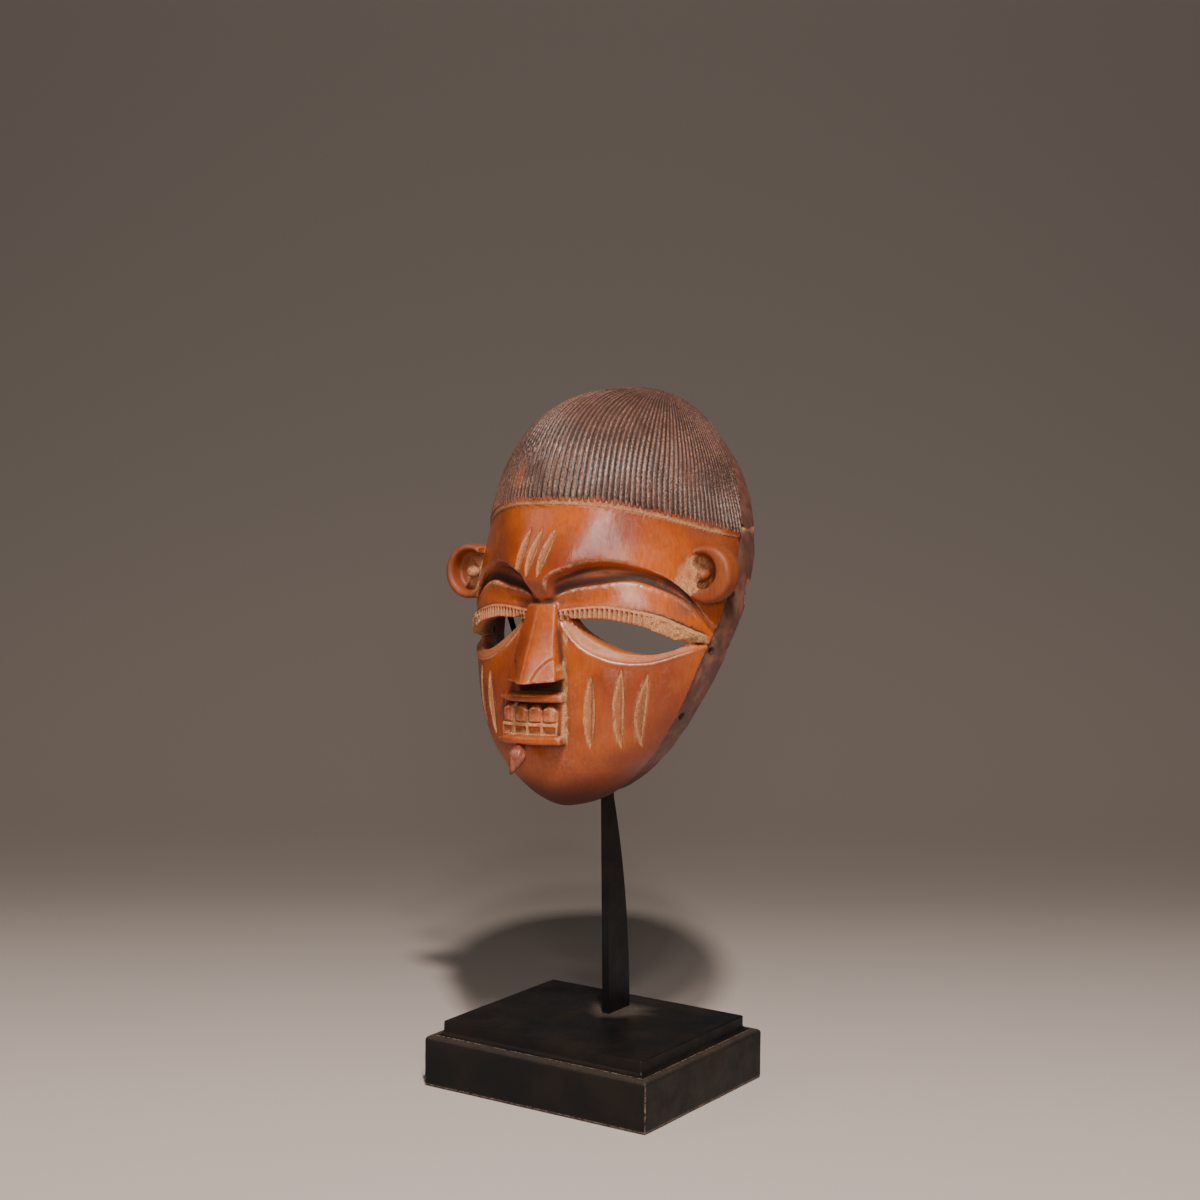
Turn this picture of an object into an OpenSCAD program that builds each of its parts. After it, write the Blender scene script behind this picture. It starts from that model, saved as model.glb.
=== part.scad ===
// Carved wooden face mask on a painted plinth with a steel post and claw mount.
// Millimetres, +Z up. The origin is the middle of the plinth's underside.
// The face looks along -Y, and the wearer's left is +X.

/* [Plinth] */
// Width of the lower slab
plinth_w = 180; // [150:1:220]
// Depth of the lower slab
plinth_d = 150; // [130:1:180]
// Height of the lower slab, with its felt
slab_top = 35; // [28:1:45]
// Height of the upper tier
tier_h = 10; // [8:0.5:14]
// How far the upper tier stands in from the slab
tier_inset = 9.3; // [8:0.1:12]
// Height of the cove at the foot of the upper tier
cove_h = 4; // [2:0.5:5]
// Thickness of the felt sheet under the slab
felt_t = 1; // [0.5:0.1:2]

/* [Post] */
// Thickness of the flat bar
post_t = 5.5; // [4:0.1:8]
// Depth of the bar at its foot
post_foot = 26.2; // [20:0.1:32]
// Depth of the bar under the chin
post_neck = 8; // [7:0.1:10]
// Front edge of the bar at its foot
post_front_low = 14; // [10:0.5:16]
// Front edge of the bar at its top
post_front_high = 9.5; // [9.5:0.1:10.5]
// Top of the bar
post_top = 222; // [218:1:226]
// Radius of the threaded stud at the foot of the bar
stud_r = 2.5; // [2:0.1:3]

/* [Claws] */
// Radius of the bent steel rods
rod_r = 2; // [1.5:0.1:2.2]
// Outer radius of the sleeves on the rod tips
sleeve_r = 2.6; // [2.5:0.05:2.8]
// Clearance between a sleeve and its hole in the mask
claw_play = 0.08; // [0.04:0.01:0.1]
// Distance of the tilt line behind the origin
tilt_y = 11.5; // [10:0.5:13]
// Height of the tilt line
tilt_z = 348.5; // [346:0.5:351]

/* [Head form] */
// Height of the widest section
mid_z = 332; // [330:1:334]
// Half the width at that section
half_w = 101; // [98:1:104]
// Height of the crown above that section
crown_h = 143; // [140:1:150]
// Depth of the chin below that section
chin_h = 133; // [130:1:134]
// Depth of the face's front, measured forwards from the origin
face_y = 67; // [64:1:70]
// Wall thickness at the rim
wall_rim = 9; // [8:0.5:11]
// Wall thickness behind the middle of the face
wall_face = 14; // [12:0.5:16]

/* [Carving] */
// Height of the hairline at the middle of the forehead
hairline_z = 404.5; // [400:0.5:408]
// How far the hair stands out from the forehead
hair_t = 3; // [2:0.5:4]
// Width of the sunken band along the rim
band_w = 26.5; // [18:0.5:30]
// How far the band is sunken
band_t = 2.5; // [1.5:0.5:3]
// How far the forehead bulges at its lower middle
forehead_out = 10; // [0:1:14]
// Radius of a tie hole in the rim
tie_r = 1.8; // [1.5:0.1:2.2]
// Outer radius of an ear
ear_r = 19; // [17:0.5:21]
// Distance of an ear's centre from the middle
ear_x = 95.5; // [94:0.5:98]
// Height of an ear's centre
ear_z = 354.5; // [352:0.5:358]
// How far the features climb towards the wearer's left, as a share of the distance across
features_lean = 0.049; // [0:0.001:0.06]

/* [Hidden] */
$fn = 48;
eps = 0.01;
black_paint = "#1d1a19";
black_steel = "#151516";
warm_wood = "#a4552a";

// Plinth
plinth_top = slab_top + tier_h;
arris_r = 3;
corner_r = 1.2;
screw_r = 2;
screw_head_r = 4;
screw_head_z = 9;
screw_tip_z = plinth_top - 3;
screw_spots = [for (sx = [-1, 1], sy = [-1, 1]) [sx * (plinth_w / 2 - 34), sy * (plinth_d / 2 - 30)]];
stud_y = post_front_low + post_foot / 2;
recess_r = 12;
recess_top = 15;
washer_r = 10;
washer_t = 1.6;
nut_r = 4.62;
nut_h = 4;

// Post
neck_z = 197;
rod_mid_y = 12.3;
pad_t = 1.5;

// Claw rods, right-hand side mirrored from these points on the wearer's left
rod_start_z = 216;
elbow_x = 85.5;
claw_tip_x = 99;
tip_taper = 1.5;
rod_path = [[post_t / 2, rod_mid_y, rod_start_z], [12, rod_mid_y, rod_start_z], [38, 13, 238],
  [67, 11, 280], [81, 9.5, 318], [elbow_x, tilt_y, tilt_z]];

// Rim of the mask seen from the side: [height, distance behind the origin]
rim_line = [[198, 8], [250, 5], [310, 17], [370, 48], [430, 77], [465, 92], [500, 103]];
// How far the crown reaches back past its highest line
crown_back = 48;
crown_fall = 0.5;

// Tie holes on the wearer's left: [out, back, height, slope of the hole]
tie_spots = [[87, 38, 385, 20], [89, -4, 308, -12], [72, -12, 265.5, -33]];

// Eye opening: the heights of its corners and how far its edges bow up and down
eye_in = [18.5, 328];
eye_out = [84, 310.5];
eye_bow_up = 6.2;
eye_bow_down = 13.9;

// Lens-shaped cuts: [top, bottom] of each, seen from the front
forehead_cuts = [for (i = [-1:1]) [[2 + 9.7 * i, 388], [-6.6 + 8.9 * i, 355]]];
left_cheek_cuts = [[[37, 292], [35.4, 242]], [[54.5, 296], [52.5, 242]], [[68, 293], [60.5, 241.5]]];
right_cheek_cuts = [[[-45.4, 292.5], [-40.8, 249]], [[-59, 296], [-53, 252]], [[-70, 294], [-62, 256]]];

// Mouth block that carries the lips and teeth, a little to the wearer's right of the middle
mouth_x = -5;
mouth_half = 24;
mouth_low = 247;
mouth_high = 278.5;
teeth_x = -7.2;
tooth_pitch = 10.9;

// Peg under the lower lip
peg_root = [-11, -72, 247];
peg_slope = 58;
peg_neck_r = 3;
peg_neck_l = 5;
peg_tenon_r = 2.2;
peg_tenon_l = 6;
peg_r = 6.2;
peg_l = 24.5;

function smooth(t) = t <= 0 ? 0 : t >= 1 ? 1 : t * t * (3 - 2 * t);
function sq(v) = v * v;

// The slope of the rim line at its point i
function rim_slope(i) =
  let (a = rim_line[max(i - 1, 0)], b = rim_line[min(i + 1, len(rim_line) - 1)])
  (b[1] - a[1]) / (b[0] - a[0]);

// A smooth curve through the rim line's points
function rim_step(z, i) =
  let (p = rim_line[i], q = rim_line[i + 1], h = q[0] - p[0], t = (z - p[0]) / h)
  (2 * t * t * t - 3 * t * t + 1) * p[1] + (t * t * t - 2 * t * t + t) * h * rim_slope(i)
  + (3 * t * t - 2 * t * t * t) * q[1] + (t * t * t - t * t) * h * rim_slope(i + 1);
function rim_y(z) = z <= rim_line[0][0] ? rim_line[0][1]
  : rim_step(z, max([for (i = [0:len(rim_line) - 2]) if (rim_line[i][0] < z) i]));

// Front outline: distance from the widest section's centre, at angle a from +X
function outline(a) =
  let (up = sin(a) > 0, n = up ? 1.9 : 1.62, h = up ? crown_h : chin_h)
  pow(pow(abs(cos(a)) / half_w, n) + pow(abs(sin(a)) / h, n), -1 / n);
// Squareness of the section from the middle of the face out to the rim
function section_n(a) = 2 + 4 * pow(max(0, -sin(a)), 4) + 1.3 * pow(max(0, sin(a)), 6);
function rim_at(a) = rim_y(mid_z + outline(a) * sin(a));
function crest_at(a) = rim_at(a) - crown_back * pow(max(0, sin(a)), 1.5);

// A point of the plain head form at angle a, turned by b from the front; t is the wall
// thickness taken off at the rim and f the thickness taken off at the front
function form_point(a, b, t, f) =
  let (n = section_n(a), k = pow(pow(sin(b), n) + pow(cos(b), n), -1 / n),
    r = (outline(a) - t) * k * sin(b), yc = crest_at(a))
  [r * cos(a), yc - (yc + face_y - f) * k * cos(b), mid_z + r * sin(a)];
// The same form carried back from its crest to the rim; s runs from 0 to 1
function skirt_point(a, s, t) =
  let (y = crest_at(a) + s * (rim_at(a) - crest_at(a)),
    r = (outline(a) - t) * (1 - crown_fall * sq((y - crest_at(a)) / 100)))
  [r * cos(a), y, mid_z + r * sin(a)];

// Distance of the plain face behind the origin at a place seen from the front
function face_at(x, z) =
  let (a = atan2(z - mid_z, x), n = section_n(a), yc = crest_at(a),
    xi = min(1, norm([x, z - mid_z]) / outline(a)))
  yc - (yc + face_y) * pow(1 - pow(xi, n), 1 / n);

// Relief added to the form along its outward direction
function hair_rise(p) = hair_t * smooth((p[2] - hairline_z + 28 * pow(abs(p[0]) / 95.7, 2.6)) / 3);
function bulge(p) = forehead_out * exp(-sq(p[0] / 34)) * smooth((p[2] - 338) / 18)
  * smooth((404 - p[2]) / 44);
function socket(p) = let (u = (abs(p[0]) - 50) / 42, v = (p[2] - 340 + 0.15 * (abs(p[0]) - 50)) / 21)
  -6 * smooth(1.6 * (1 - u * u - v * v));
// A place on the head, in the frame of the leaning features
function leaned(p) = [p[0], p[1], p[2] - features_lean * p[0]];
function relief(p) = let (q = leaned(p)) hair_rise(q) + bulge(q) + socket(q);

// The outward direction used for the relief: sideways at the rim, forwards at the front
function outward(a, b) = [sin(b) * cos(a), -cos(b), sin(b) * sin(a)];

around = 90;
ring_count = 20;
angle_list = [for (i = [0:around - 1]) 360 * i / around];
// How far the form turns at angle a: 90 to its crest, and on over the crown to the rim
function reach(a) = 90 + 30 * pow(max(0, sin(a)), 1.5);

// A point at fraction w of the way from the front to the rim
function shell_point(a, w, t, f) = let (b = w * reach(a))
  b <= 90 ? form_point(a, b, t, f) : skirt_point(a, (b - 90) / (reach(a) - 90), t);
function band_share(p, a) = smooth((p[1] - rim_at(a) + band_w) / 2);
function carved_point(a, w) =
  let (p = shell_point(a, w, 0, 0), band = band_share(p, a))
  p + (relief(p) * (1 - band) - band_t * band) * outward(a, min(90, w * reach(a)));

outer_rings = [for (k = [1:ring_count]) [for (a = angle_list) carved_point(a, k / ring_count)]];
inner_rings = [for (k = [3:ring_count]) [for (a = angle_list)
  shell_point(a, k / ring_count, wall_rim, wall_face)]];

function flat(list) = [for (ring = list) each ring];
// Triangles between neighbouring rings of a surface that is seen from its front or its back
function skin_faces(from, count, seen_from_front) = [for (r = [0:count - 2], i = [0:around - 1])
  let (j = (i + 1) % around, p = from + r * around, q = p + around)
  each seen_from_front ? [[p + i, p + j, q + j], [p + i, q + j, q + i]]
    : [[q + j, p + j, p + i], [q + i, q + j, p + i]]];

// Shell between the carved outside and the plain hollow
module mask_shell() {
  outer_n = len(outer_rings);
  inner_n = len(inner_rings);
  inner_from = 1 + outer_n * around;
  inner_pole = inner_from + inner_n * around;
  outer_last = inner_from - around;
  inner_last = inner_pole - around;
  points = concat([carved_point(0, 0)], flat(outer_rings), flat(inner_rings),
    [shell_point(0, 0, wall_rim, wall_face)]);
  faces = concat(
    [for (i = [0:around - 1]) [0, 1 + (i + 1) % around, 1 + i]],
    skin_faces(1, outer_n, true),
    [for (i = [0:around - 1]) let (j = (i + 1) % around)
      each [[outer_last + i, outer_last + j, inner_last + j],
        [outer_last + i, inner_last + j, inner_last + i]]],
    skin_faces(inner_from, inner_n, false),
    [for (i = [0:around - 1]) [inner_pole, inner_from + i, inner_from + (i + 1) % around]]);
  polyhedron(points = points, faces = faces, convexity = 10);
}

// Lens-shaped outline, long in Y
module lens(length, width) {
  r = (sq(length / 2) + sq(width / 2)) / width;
  intersection() {
    translate([width / 2 - r, 0]) circle(r = r, $fn = 96);
    translate([r - width / 2, 0]) circle(r = r, $fn = 96);
  }
}

// Opening of one eye: its edge bows away from the line between its corners
module eye_outline() {
  steps = 16;
  function edge(t, bow) = eye_in + t * (eye_out - eye_in) + [0, bow * sin(180 * t)];
  polygon(concat([for (i = [0:steps]) edge(i / steps, -eye_bow_down)],
    [for (i = [steps - 1:-1:1]) edge(i / steps, eye_bow_up)]));
}

// Shallow lens-shaped cut in the face, from the point low to the point high
module face_cut(high, low, width) {
  depth = 1.4;
  step = 2;
  function skin(x, z) = face_at(x, z) - bulge([x, 0, z]);
  mid = (high + low) / 2;
  run = high - low;
  y = skin(mid[0], mid[1]);
  turn = atan2(skin(mid[0] + step, mid[1]) - skin(mid[0] - step, mid[1]), 2 * step);
  pitch = atan2(skin(high[0], high[1]) - skin(low[0], low[1]), run[1]);
  lean = -atan2(run[0], run[1]);
  translate([mid[0], y, mid[1]]) rotate([0, 0, turn]) rotate([90 - pitch, 0, 0]) rotate([0, 0, lean])
    translate([0, 0, -depth]) linear_extrude(depth + 6) lens(norm(run), width);
}

module nose() {
  hull() {
    for (sx = [-1, 1]) {
      translate([8 * sx, -66, 336]) sphere(r = 2.5, $fn = 16);
      translate([15 * sx, -76, 291]) sphere(r = 3.5, $fn = 16);
    }
    translate([0, -70, 335]) sphere(r = 2.5, $fn = 16);
    translate([0, -89, 290]) sphere(r = 3, $fn = 20);
    translate([0, -66, 288]) cube([30, 4, 4], center = true);
  }
}

// One lip: a bar whose front follows a wide curve
module lip(z, half, front, h) {
  lip_curve = 68;
  translate([mouth_x, 0, z - h / 2]) linear_extrude(h) intersection() {
    translate([0, lip_curve - front]) circle(r = lip_curve, $fn = 180);
    translate([-half, -front - 1]) square([2 * half, front - 54]);
  }
}

module teeth() {
  split_z = 259.6;
  tooth_r = 5.3;
  for (i = [-1.5:1:1.5]) {
    y = -73 + 0.006 * sq(i * tooth_pitch);
    translate([teeth_x + i * tooth_pitch, y, 0]) {
      translate([0, tooth_r, split_z + 0.5]) cylinder(r = tooth_r, h = 10);
      translate([-4.9, 0, 250]) cube([9.8, 12, split_z - 250.5]);
    }
  }
  translate([mouth_x - mouth_half, -67.8, mouth_low])
    cube([2 * mouth_half, 14, mouth_high - mouth_low]);
}

// Cupped ear on the wearer's left, hollow towards the front
module ear() {
  ear_back = -6;
  ear_front = -22;
  cup_r = ear_r - 5.5;
  difference() {
    translate([ear_x, ear_back, ear_z]) rotate([90, 0, 0])
      cylinder(r = ear_r, h = ear_back - ear_front, $fn = 64);
    translate([ear_x - 1, ear_back - 5, ear_z]) rotate([90, 0, 0]) cylinder(r = cup_r, h = 30);
    translate([0, ear_front - 5, ear_z - 30]) cube([ear_x - 9, 30, 60]);
  }
  translate([ear_x - 5, ear_back - 4, ear_z]) rotate([90, 0, 0]) cylinder(r = 5, h = 10);
}

// Makes the features climb towards the wearer's left
module features() {
  multmatrix([[1, 0, 0, 0], [0, 1, 0, 0], [features_lean, 0, 1, 0]]) children();
}

module both_sides() {
  for (side = [0, 1]) mirror([side, 0, 0]) children();
}

module mask() {
  cheek_width = 9;
  forehead_width = 6;
  color(warm_wood) difference() {
    union() {
      mask_shell();
      features() {
        nose();
        lip(276.3, 24.4, 76.5, 5.6);
        lip(248.6, 24.8, 79, 5.6);
        teeth();
        both_sides() ear();
      }
    }
    features() {
      both_sides() translate([0, 20, 0]) rotate([90, 0, 0]) linear_extrude(120) eye_outline();
      for (c = concat(left_cheek_cuts, right_cheek_cuts)) face_cut(c[0], c[1], cheek_width);
      for (c = forehead_cuts) face_cut(c[0], c[1], forehead_width);
    }
    peg_place() {
      translate([0, 0, -peg_tenon_l]) cylinder(r = peg_tenon_r, h = peg_tenon_l + eps);
      cylinder(r = peg_neck_r + 0.1, h = peg_neck_l);
    }
    both_sides() {
      translate([elbow_x - 6, tilt_y, tilt_z]) rotate([0, 90, 0])
        cylinder(r = sleeve_r + claw_play, h = 30);
      for (spot = tie_spots) translate([spot[0], spot[1], spot[2]]) rotate([0, 90 - spot[3], 0])
        cylinder(r = tie_r, h = 30, center = true);
    }
  }
}

// Frame of the chin peg: its own +Z leaves the underside of the lower lip
module peg_place() {
  translate(peg_root) rotate([90 + peg_slope, 0, 0]) children();
}

module chin_peg() {
  shoulder_l = 5.5;
  color("#8c3f28") peg_place() {
    translate([0, 0, -peg_tenon_l]) cylinder(r = peg_tenon_r, h = peg_tenon_l + 1);
    cylinder(r = peg_neck_r, h = peg_neck_l);
    translate([0, 0, peg_neck_l]) cylinder(r1 = peg_neck_r, r2 = peg_r, h = shoulder_l);
    translate([0, 0, peg_neck_l + shoulder_l])
      cylinder(r1 = peg_r, r2 = 0.8, h = peg_l - peg_neck_l - shoulder_l);
  }
}

// Rectangle with rounded corners, inset all round, at height z
corner_steps = 4;
function plinth_loop(inset, z) =
  let (x = plinth_w / 2 - inset - corner_r, y = plinth_d / 2 - inset - corner_r)
  [for (q = [0:3], k = [0:corner_steps]) let (a = 90 * (q + k / corner_steps))
    [(q == 0 || q == 3 ? x : -x) + corner_r * cos(a), (q < 2 ? y : -y) + corner_r * sin(a), z]];

// Solid through a list of loops, closed at both ends
module loft(loops) {
  n = len(loops[0]);
  last = len(loops) - 1;
  polyhedron(points = [for (l = loops) each l], convexity = 4, faces = concat(
    [[for (i = [0:n - 1]) i]],
    [for (l = [0:last - 1], i = [0:n - 1]) let (j = (i + 1) % n, p = l * n)
      [p + i, p + n + i, p + n + j, p + j]],
    [[for (i = [n - 1:-1:0]) last * n + i]]));
}

module plinth_slab() {
  steps = 5;
  color(black_paint) difference() {
    loft(concat([plinth_loop(0, felt_t)],
      [for (k = [0:steps]) let (a = 90 * k / steps)
        plinth_loop(arris_r * (1 - cos(a)), slab_top - arris_r * (1 - sin(a)))]));
    translate([0, stud_y, 0]) cylinder(r = stud_r, h = 100);
    translate([0, stud_y, 0]) cylinder(r = recess_r, h = recess_top);
    for (p = screw_spots) translate(p) {
      cylinder(r = screw_r, h = 100);
      cylinder(r = screw_head_r, h = screw_head_z);
    }
  }
}

module plinth_tier() {
  steps = 5;
  top_arris = 0.8;
  color(black_paint) difference() {
    loft(concat(
      [for (k = [0:steps]) let (a = 90 * k / steps)
        plinth_loop(tier_inset - cove_h * (1 - sin(a)), slab_top + cove_h * (1 - cos(a)))],
      [plinth_loop(tier_inset, plinth_top - top_arris),
        plinth_loop(tier_inset + top_arris, plinth_top)]));
    translate([0, stud_y, 0]) cylinder(r = stud_r, h = 100);
    for (p = screw_spots) translate([p[0], p[1], slab_top - eps])
      cylinder(r = screw_r, h = screw_tip_z - slab_top + eps);
  }
}

module felt_sheet() {
  felt_inset = 2;
  color("#6d675f") translate([felt_inset - plinth_w / 2, felt_inset - plinth_d / 2, 0])
    cube([plinth_w - 2 * felt_inset, plinth_d - 2 * felt_inset, felt_t]);
}

module plinth_screws() {
  head_h = 3;
  color("silver") for (p = screw_spots) translate(p) {
    translate([0, 0, screw_head_z]) cylinder(r = screw_r, h = screw_tip_z - screw_head_z);
    translate([0, 0, screw_head_z - head_h]) cylinder(r = screw_head_r - 0.2, h = head_h);
  }
}

// Side outline of the bar: straight in front, bowed behind
function bar_front(z) = post_front_low
  + (post_front_high - post_front_low) * min(1, (z - plinth_top) / (neck_z - plinth_top));
function bar_depth(z) = let (t = (z - plinth_top) / (neck_z - plinth_top))
  post_neck + (post_foot - post_neck) * (1 - pow(min(1, t), 2.2));
module post() {
  heights = [for (z = [plinth_top:8:neck_z]) z];
  outline = concat([[bar_front(post_top), post_top], [bar_front(neck_z), neck_z],
    [bar_front(plinth_top), plinth_top]],
    [for (z = heights) [bar_front(z) + bar_depth(z), z]],
    [[bar_front(neck_z) + post_neck, neck_z], [bar_front(neck_z) + post_neck - 1.5, post_top]]);
  color(black_steel) {
    translate([-post_t / 2, 0, 0]) rotate([90, 0, 90]) linear_extrude(post_t) polygon(outline);
    translate([0, stud_y, recess_top - washer_t - nut_h - 2])
      cylinder(r = stud_r, h = plinth_top - recess_top + washer_t + nut_h + 2);
  }
}

module post_washer() {
  color("silver") translate([0, stud_y, recess_top - washer_t]) difference() {
    cylinder(r = washer_r, h = washer_t);
    translate([0, 0, -1]) cylinder(r = stud_r, h = washer_t + 2);
  }
}

module post_nut() {
  color("silver") translate([0, stud_y, recess_top - washer_t - nut_h]) difference() {
    cylinder(r = nut_r, h = nut_h, $fn = 6);
    translate([0, 0, -1]) cylinder(r = stud_r, h = nut_h + 2);
  }
}

// Felt pad between the bar and the back of the chin
module post_pad() {
  pad_low = 202;
  pad_h = 6;
  color("#2a2826") translate([-post_t / 2, post_front_high - pad_t, pad_low])
    cube([post_t, pad_t, pad_h]);
}

// Round rod from one point to the next
module rod_piece(p, q) {
  d = q - p;
  translate(p) rotate([0, acos(d[2] / norm(d)), atan2(d[1], d[0])])
    cylinder(r = rod_r, h = norm(d));
}

module claw(side) {
  last = len(rod_path) - 1;
  knuckle_r = rod_r + 0.1;
  color(black_steel) mirror([side < 0 ? 1 : 0, 0, 0]) {
    for (i = [0:last - 1]) rod_piece(rod_path[i], rod_path[i + 1]);
    for (i = [1:last]) translate(rod_path[i]) sphere(r = knuckle_r);
    rod_piece(rod_path[last], [claw_tip_x - tip_taper, tilt_y, tilt_z]);
    translate([claw_tip_x - tip_taper, tilt_y, tilt_z]) rotate([0, 90, 0])
      cylinder(r1 = rod_r, r2 = rod_r / 2, h = tip_taper);
  }
}
module claw_left() claw(1);
module claw_right() claw(-1);

module claw_sleeve(side) {
  sleeve_l = claw_tip_x - tip_taper - elbow_x - 3;
  color("#101010") mirror([side < 0 ? 1 : 0, 0, 0])
    translate([elbow_x + 3, tilt_y, tilt_z]) rotate([0, 90, 0]) difference() {
      cylinder(r = sleeve_r, h = sleeve_l);
      translate([0, 0, -1]) cylinder(r = rod_r, h = sleeve_l + 2);
    }
}
module claw_sleeve_left() claw_sleeve(1);
module claw_sleeve_right() claw_sleeve(-1);

plinth_slab();
plinth_tier();
felt_sheet();
plinth_screws();
post();
post_washer();
post_nut();
post_pad();
claw_left();
claw_right();
claw_sleeve_left();
claw_sleeve_right();
mask();
chin_peg();
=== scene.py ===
import math

import bpy
import numpy as np
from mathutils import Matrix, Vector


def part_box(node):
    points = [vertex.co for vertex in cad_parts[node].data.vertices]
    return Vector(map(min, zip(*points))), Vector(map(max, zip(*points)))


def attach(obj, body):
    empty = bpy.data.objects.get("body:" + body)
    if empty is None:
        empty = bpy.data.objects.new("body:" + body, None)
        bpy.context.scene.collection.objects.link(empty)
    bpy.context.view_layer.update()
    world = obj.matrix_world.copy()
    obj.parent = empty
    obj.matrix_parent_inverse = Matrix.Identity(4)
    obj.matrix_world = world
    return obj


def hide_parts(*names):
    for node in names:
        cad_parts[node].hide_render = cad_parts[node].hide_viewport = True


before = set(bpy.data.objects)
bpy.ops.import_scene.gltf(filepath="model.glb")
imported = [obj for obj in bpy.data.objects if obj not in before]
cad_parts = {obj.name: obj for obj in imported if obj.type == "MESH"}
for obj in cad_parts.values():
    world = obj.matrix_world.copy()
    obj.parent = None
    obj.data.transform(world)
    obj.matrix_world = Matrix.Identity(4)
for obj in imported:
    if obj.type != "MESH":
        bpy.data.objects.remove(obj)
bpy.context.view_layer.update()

import openvdb
from mathutils import Matrix, Vector

# The carving is worked out in millimetres, in the row frame, and becomes metres at the end.
MM = 0.001
rng = np.random.default_rng(7)

# ------------ camera

# Azimuth 0 is in front of the object, 90 at the wearer's left
CAMERA_SPOT = (0.865582, -1.299660, 0.500814)
CAMERA_AZIMUTH = 33.627
CAMERA_ELEVATION = 6.075
CAMERA_ROLL = 0.560
LENS_MM = 69.7
SENSOR_MM = 36


def way_to(azimuth, elevation):
    """The direction from the object to that azimuth and elevation."""
    a, e = math.radians(azimuth), math.radians(elevation)
    return Vector((math.sin(a) * math.cos(e), -math.cos(a) * math.cos(e), math.sin(e)))


def make_camera():
    data = bpy.data.cameras.new("camera")
    data.sensor_width = SENSOR_MM
    data.lens = LENS_MM
    data.clip_start = 0.05
    data.clip_end = 30
    camera = bpy.data.objects.new("camera", data)
    turn = way_to(CAMERA_AZIMUTH, CAMERA_ELEVATION).to_track_quat("Z", "Y").to_matrix().to_4x4()
    roll = Matrix.Rotation(math.radians(CAMERA_ROLL), 4, "Z")
    camera.matrix_world = Matrix.Translation(CAMERA_SPOT) @ turn @ roll
    bpy.context.scene.collection.objects.link(camera)
    bpy.context.scene.camera = camera


make_camera()

# ------------ small maths


def smooth(t):
    t = np.clip(t, 0, 1)
    return t * t * (3 - 2 * t)


def hill(t):
    """1 where t is 0, and down to 0 where t is 1 either way."""
    return smooth(1 - np.abs(t))


def between(t, low, high, soft_low, soft_high):
    """0 outside low..high and 1 inside, with an eased end of the given width at each."""
    return smooth((t - low) / soft_low) * smooth((high - t) / soft_high)


def join(a, b, r):
    """Union of two solids with a fillet of about r."""
    h = np.maximum(r - np.abs(a - b), 0) / r
    return np.minimum(a, b) - h * h * r / 4


def common(a, b, r):
    """Intersection of two solids with its edge eased by about r."""
    h = np.maximum(r - np.abs(a - b), 0) / r
    return np.maximum(a, b) + h * h * r / 4


def cut(a, b, r):
    return common(a, -b, r)


def through(points):
    """A smooth curve through points (position, value)."""
    x, y = np.array(points, float).T
    lo = np.maximum(np.arange(len(x)) - 1, 0)
    hi = np.minimum(np.arange(len(x)) + 1, len(x) - 1)
    slope = (y[hi] - y[lo]) / (x[hi] - x[lo])
    fine = np.linspace(x[0], x[-1], 800)
    i = np.clip(np.searchsorted(x, fine, side="right") - 1, 0, len(x) - 2)
    h = x[i + 1] - x[i]
    t = (fine - x[i]) / h
    value = ((2 * t ** 3 - 3 * t ** 2 + 1) * y[i] + (t ** 3 - 2 * t ** 2 + t) * h * slope[i]
             + (3 * t ** 2 - 2 * t ** 3) * y[i + 1] + (t ** 3 - t ** 2) * h * slope[i + 1])
    return lambda u: np.interp(u, fine, value)


LATTICE = 32
lattice = rng.random((LATTICE, LATTICE, LATTICE)).astype(np.float32)


def lumps(p, size, shift=0.0):
    """Smooth noise from 0 to 1 with lumps of about that size; size may be a triple."""
    q = p / np.array(size, np.float32) + np.float32(shift) + 1000
    i = np.floor(q).astype(np.int32)
    t = (q - i).astype(np.float32)
    t = t * t * (3 - 2 * t)
    total = 0
    for corner in range(8):
        step = np.array([corner & 1, corner >> 1 & 1, corner >> 2 & 1])
        at = (i + step) % LATTICE
        share = np.where(step, t, 1 - t)
        value = lattice[at[:, 0], at[:, 1], at[:, 2]]
        total = total + share[:, 0] * share[:, 1] * share[:, 2] * value
    return total


# ------------ head form

MID_Z = 332.0
HALF_W = 101.0
CROWN_H = 143.0
CHIN_H = 133.0
FACE_Y = 67.0
WALL_RIM = 9.0
WALL_FACE = 14.0
CROWN_BACK = 48.0
BAND_W = 26.5
BAND_T = 2.5
RIM = through([(198, 8), (250, 5), (310, 17), (370, 48), (430, 77), (465, 92), (500, 103)])

angle_table = np.linspace(-math.pi, math.pi, 4001)


def outline_at(angle):
    c, s = np.abs(np.cos(angle)), np.sin(angle)
    n = np.where(s > 0, 1.9, 1.62)
    h = np.where(s > 0, CROWN_H, CHIN_H)
    return ((c / HALF_W) ** n + (np.abs(s) / h) ** n) ** (-1 / n)


up_table = np.maximum(0, np.sin(angle_table))
down_table = np.maximum(0, -np.sin(angle_table))
outline_table = outline_at(angle_table)
rim_table = RIM(MID_Z + outline_table * np.sin(angle_table))
crest_table = rim_table - CROWN_BACK * up_table ** 1.5
square_table = 2 + 4 * down_table ** 4 + 1.3 * up_table ** 6


def around(p):
    """Radius, outline, rim, crest and squareness where each point lies round the head."""
    x, z = p[:, 0], p[:, 2] - MID_Z
    radius = np.hypot(x, z)
    angle = np.arctan2(z, x)
    return (radius,) + tuple(np.interp(angle, angle_table, t)
                             for t in (outline_table, rim_table, crest_table, square_table))


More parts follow.
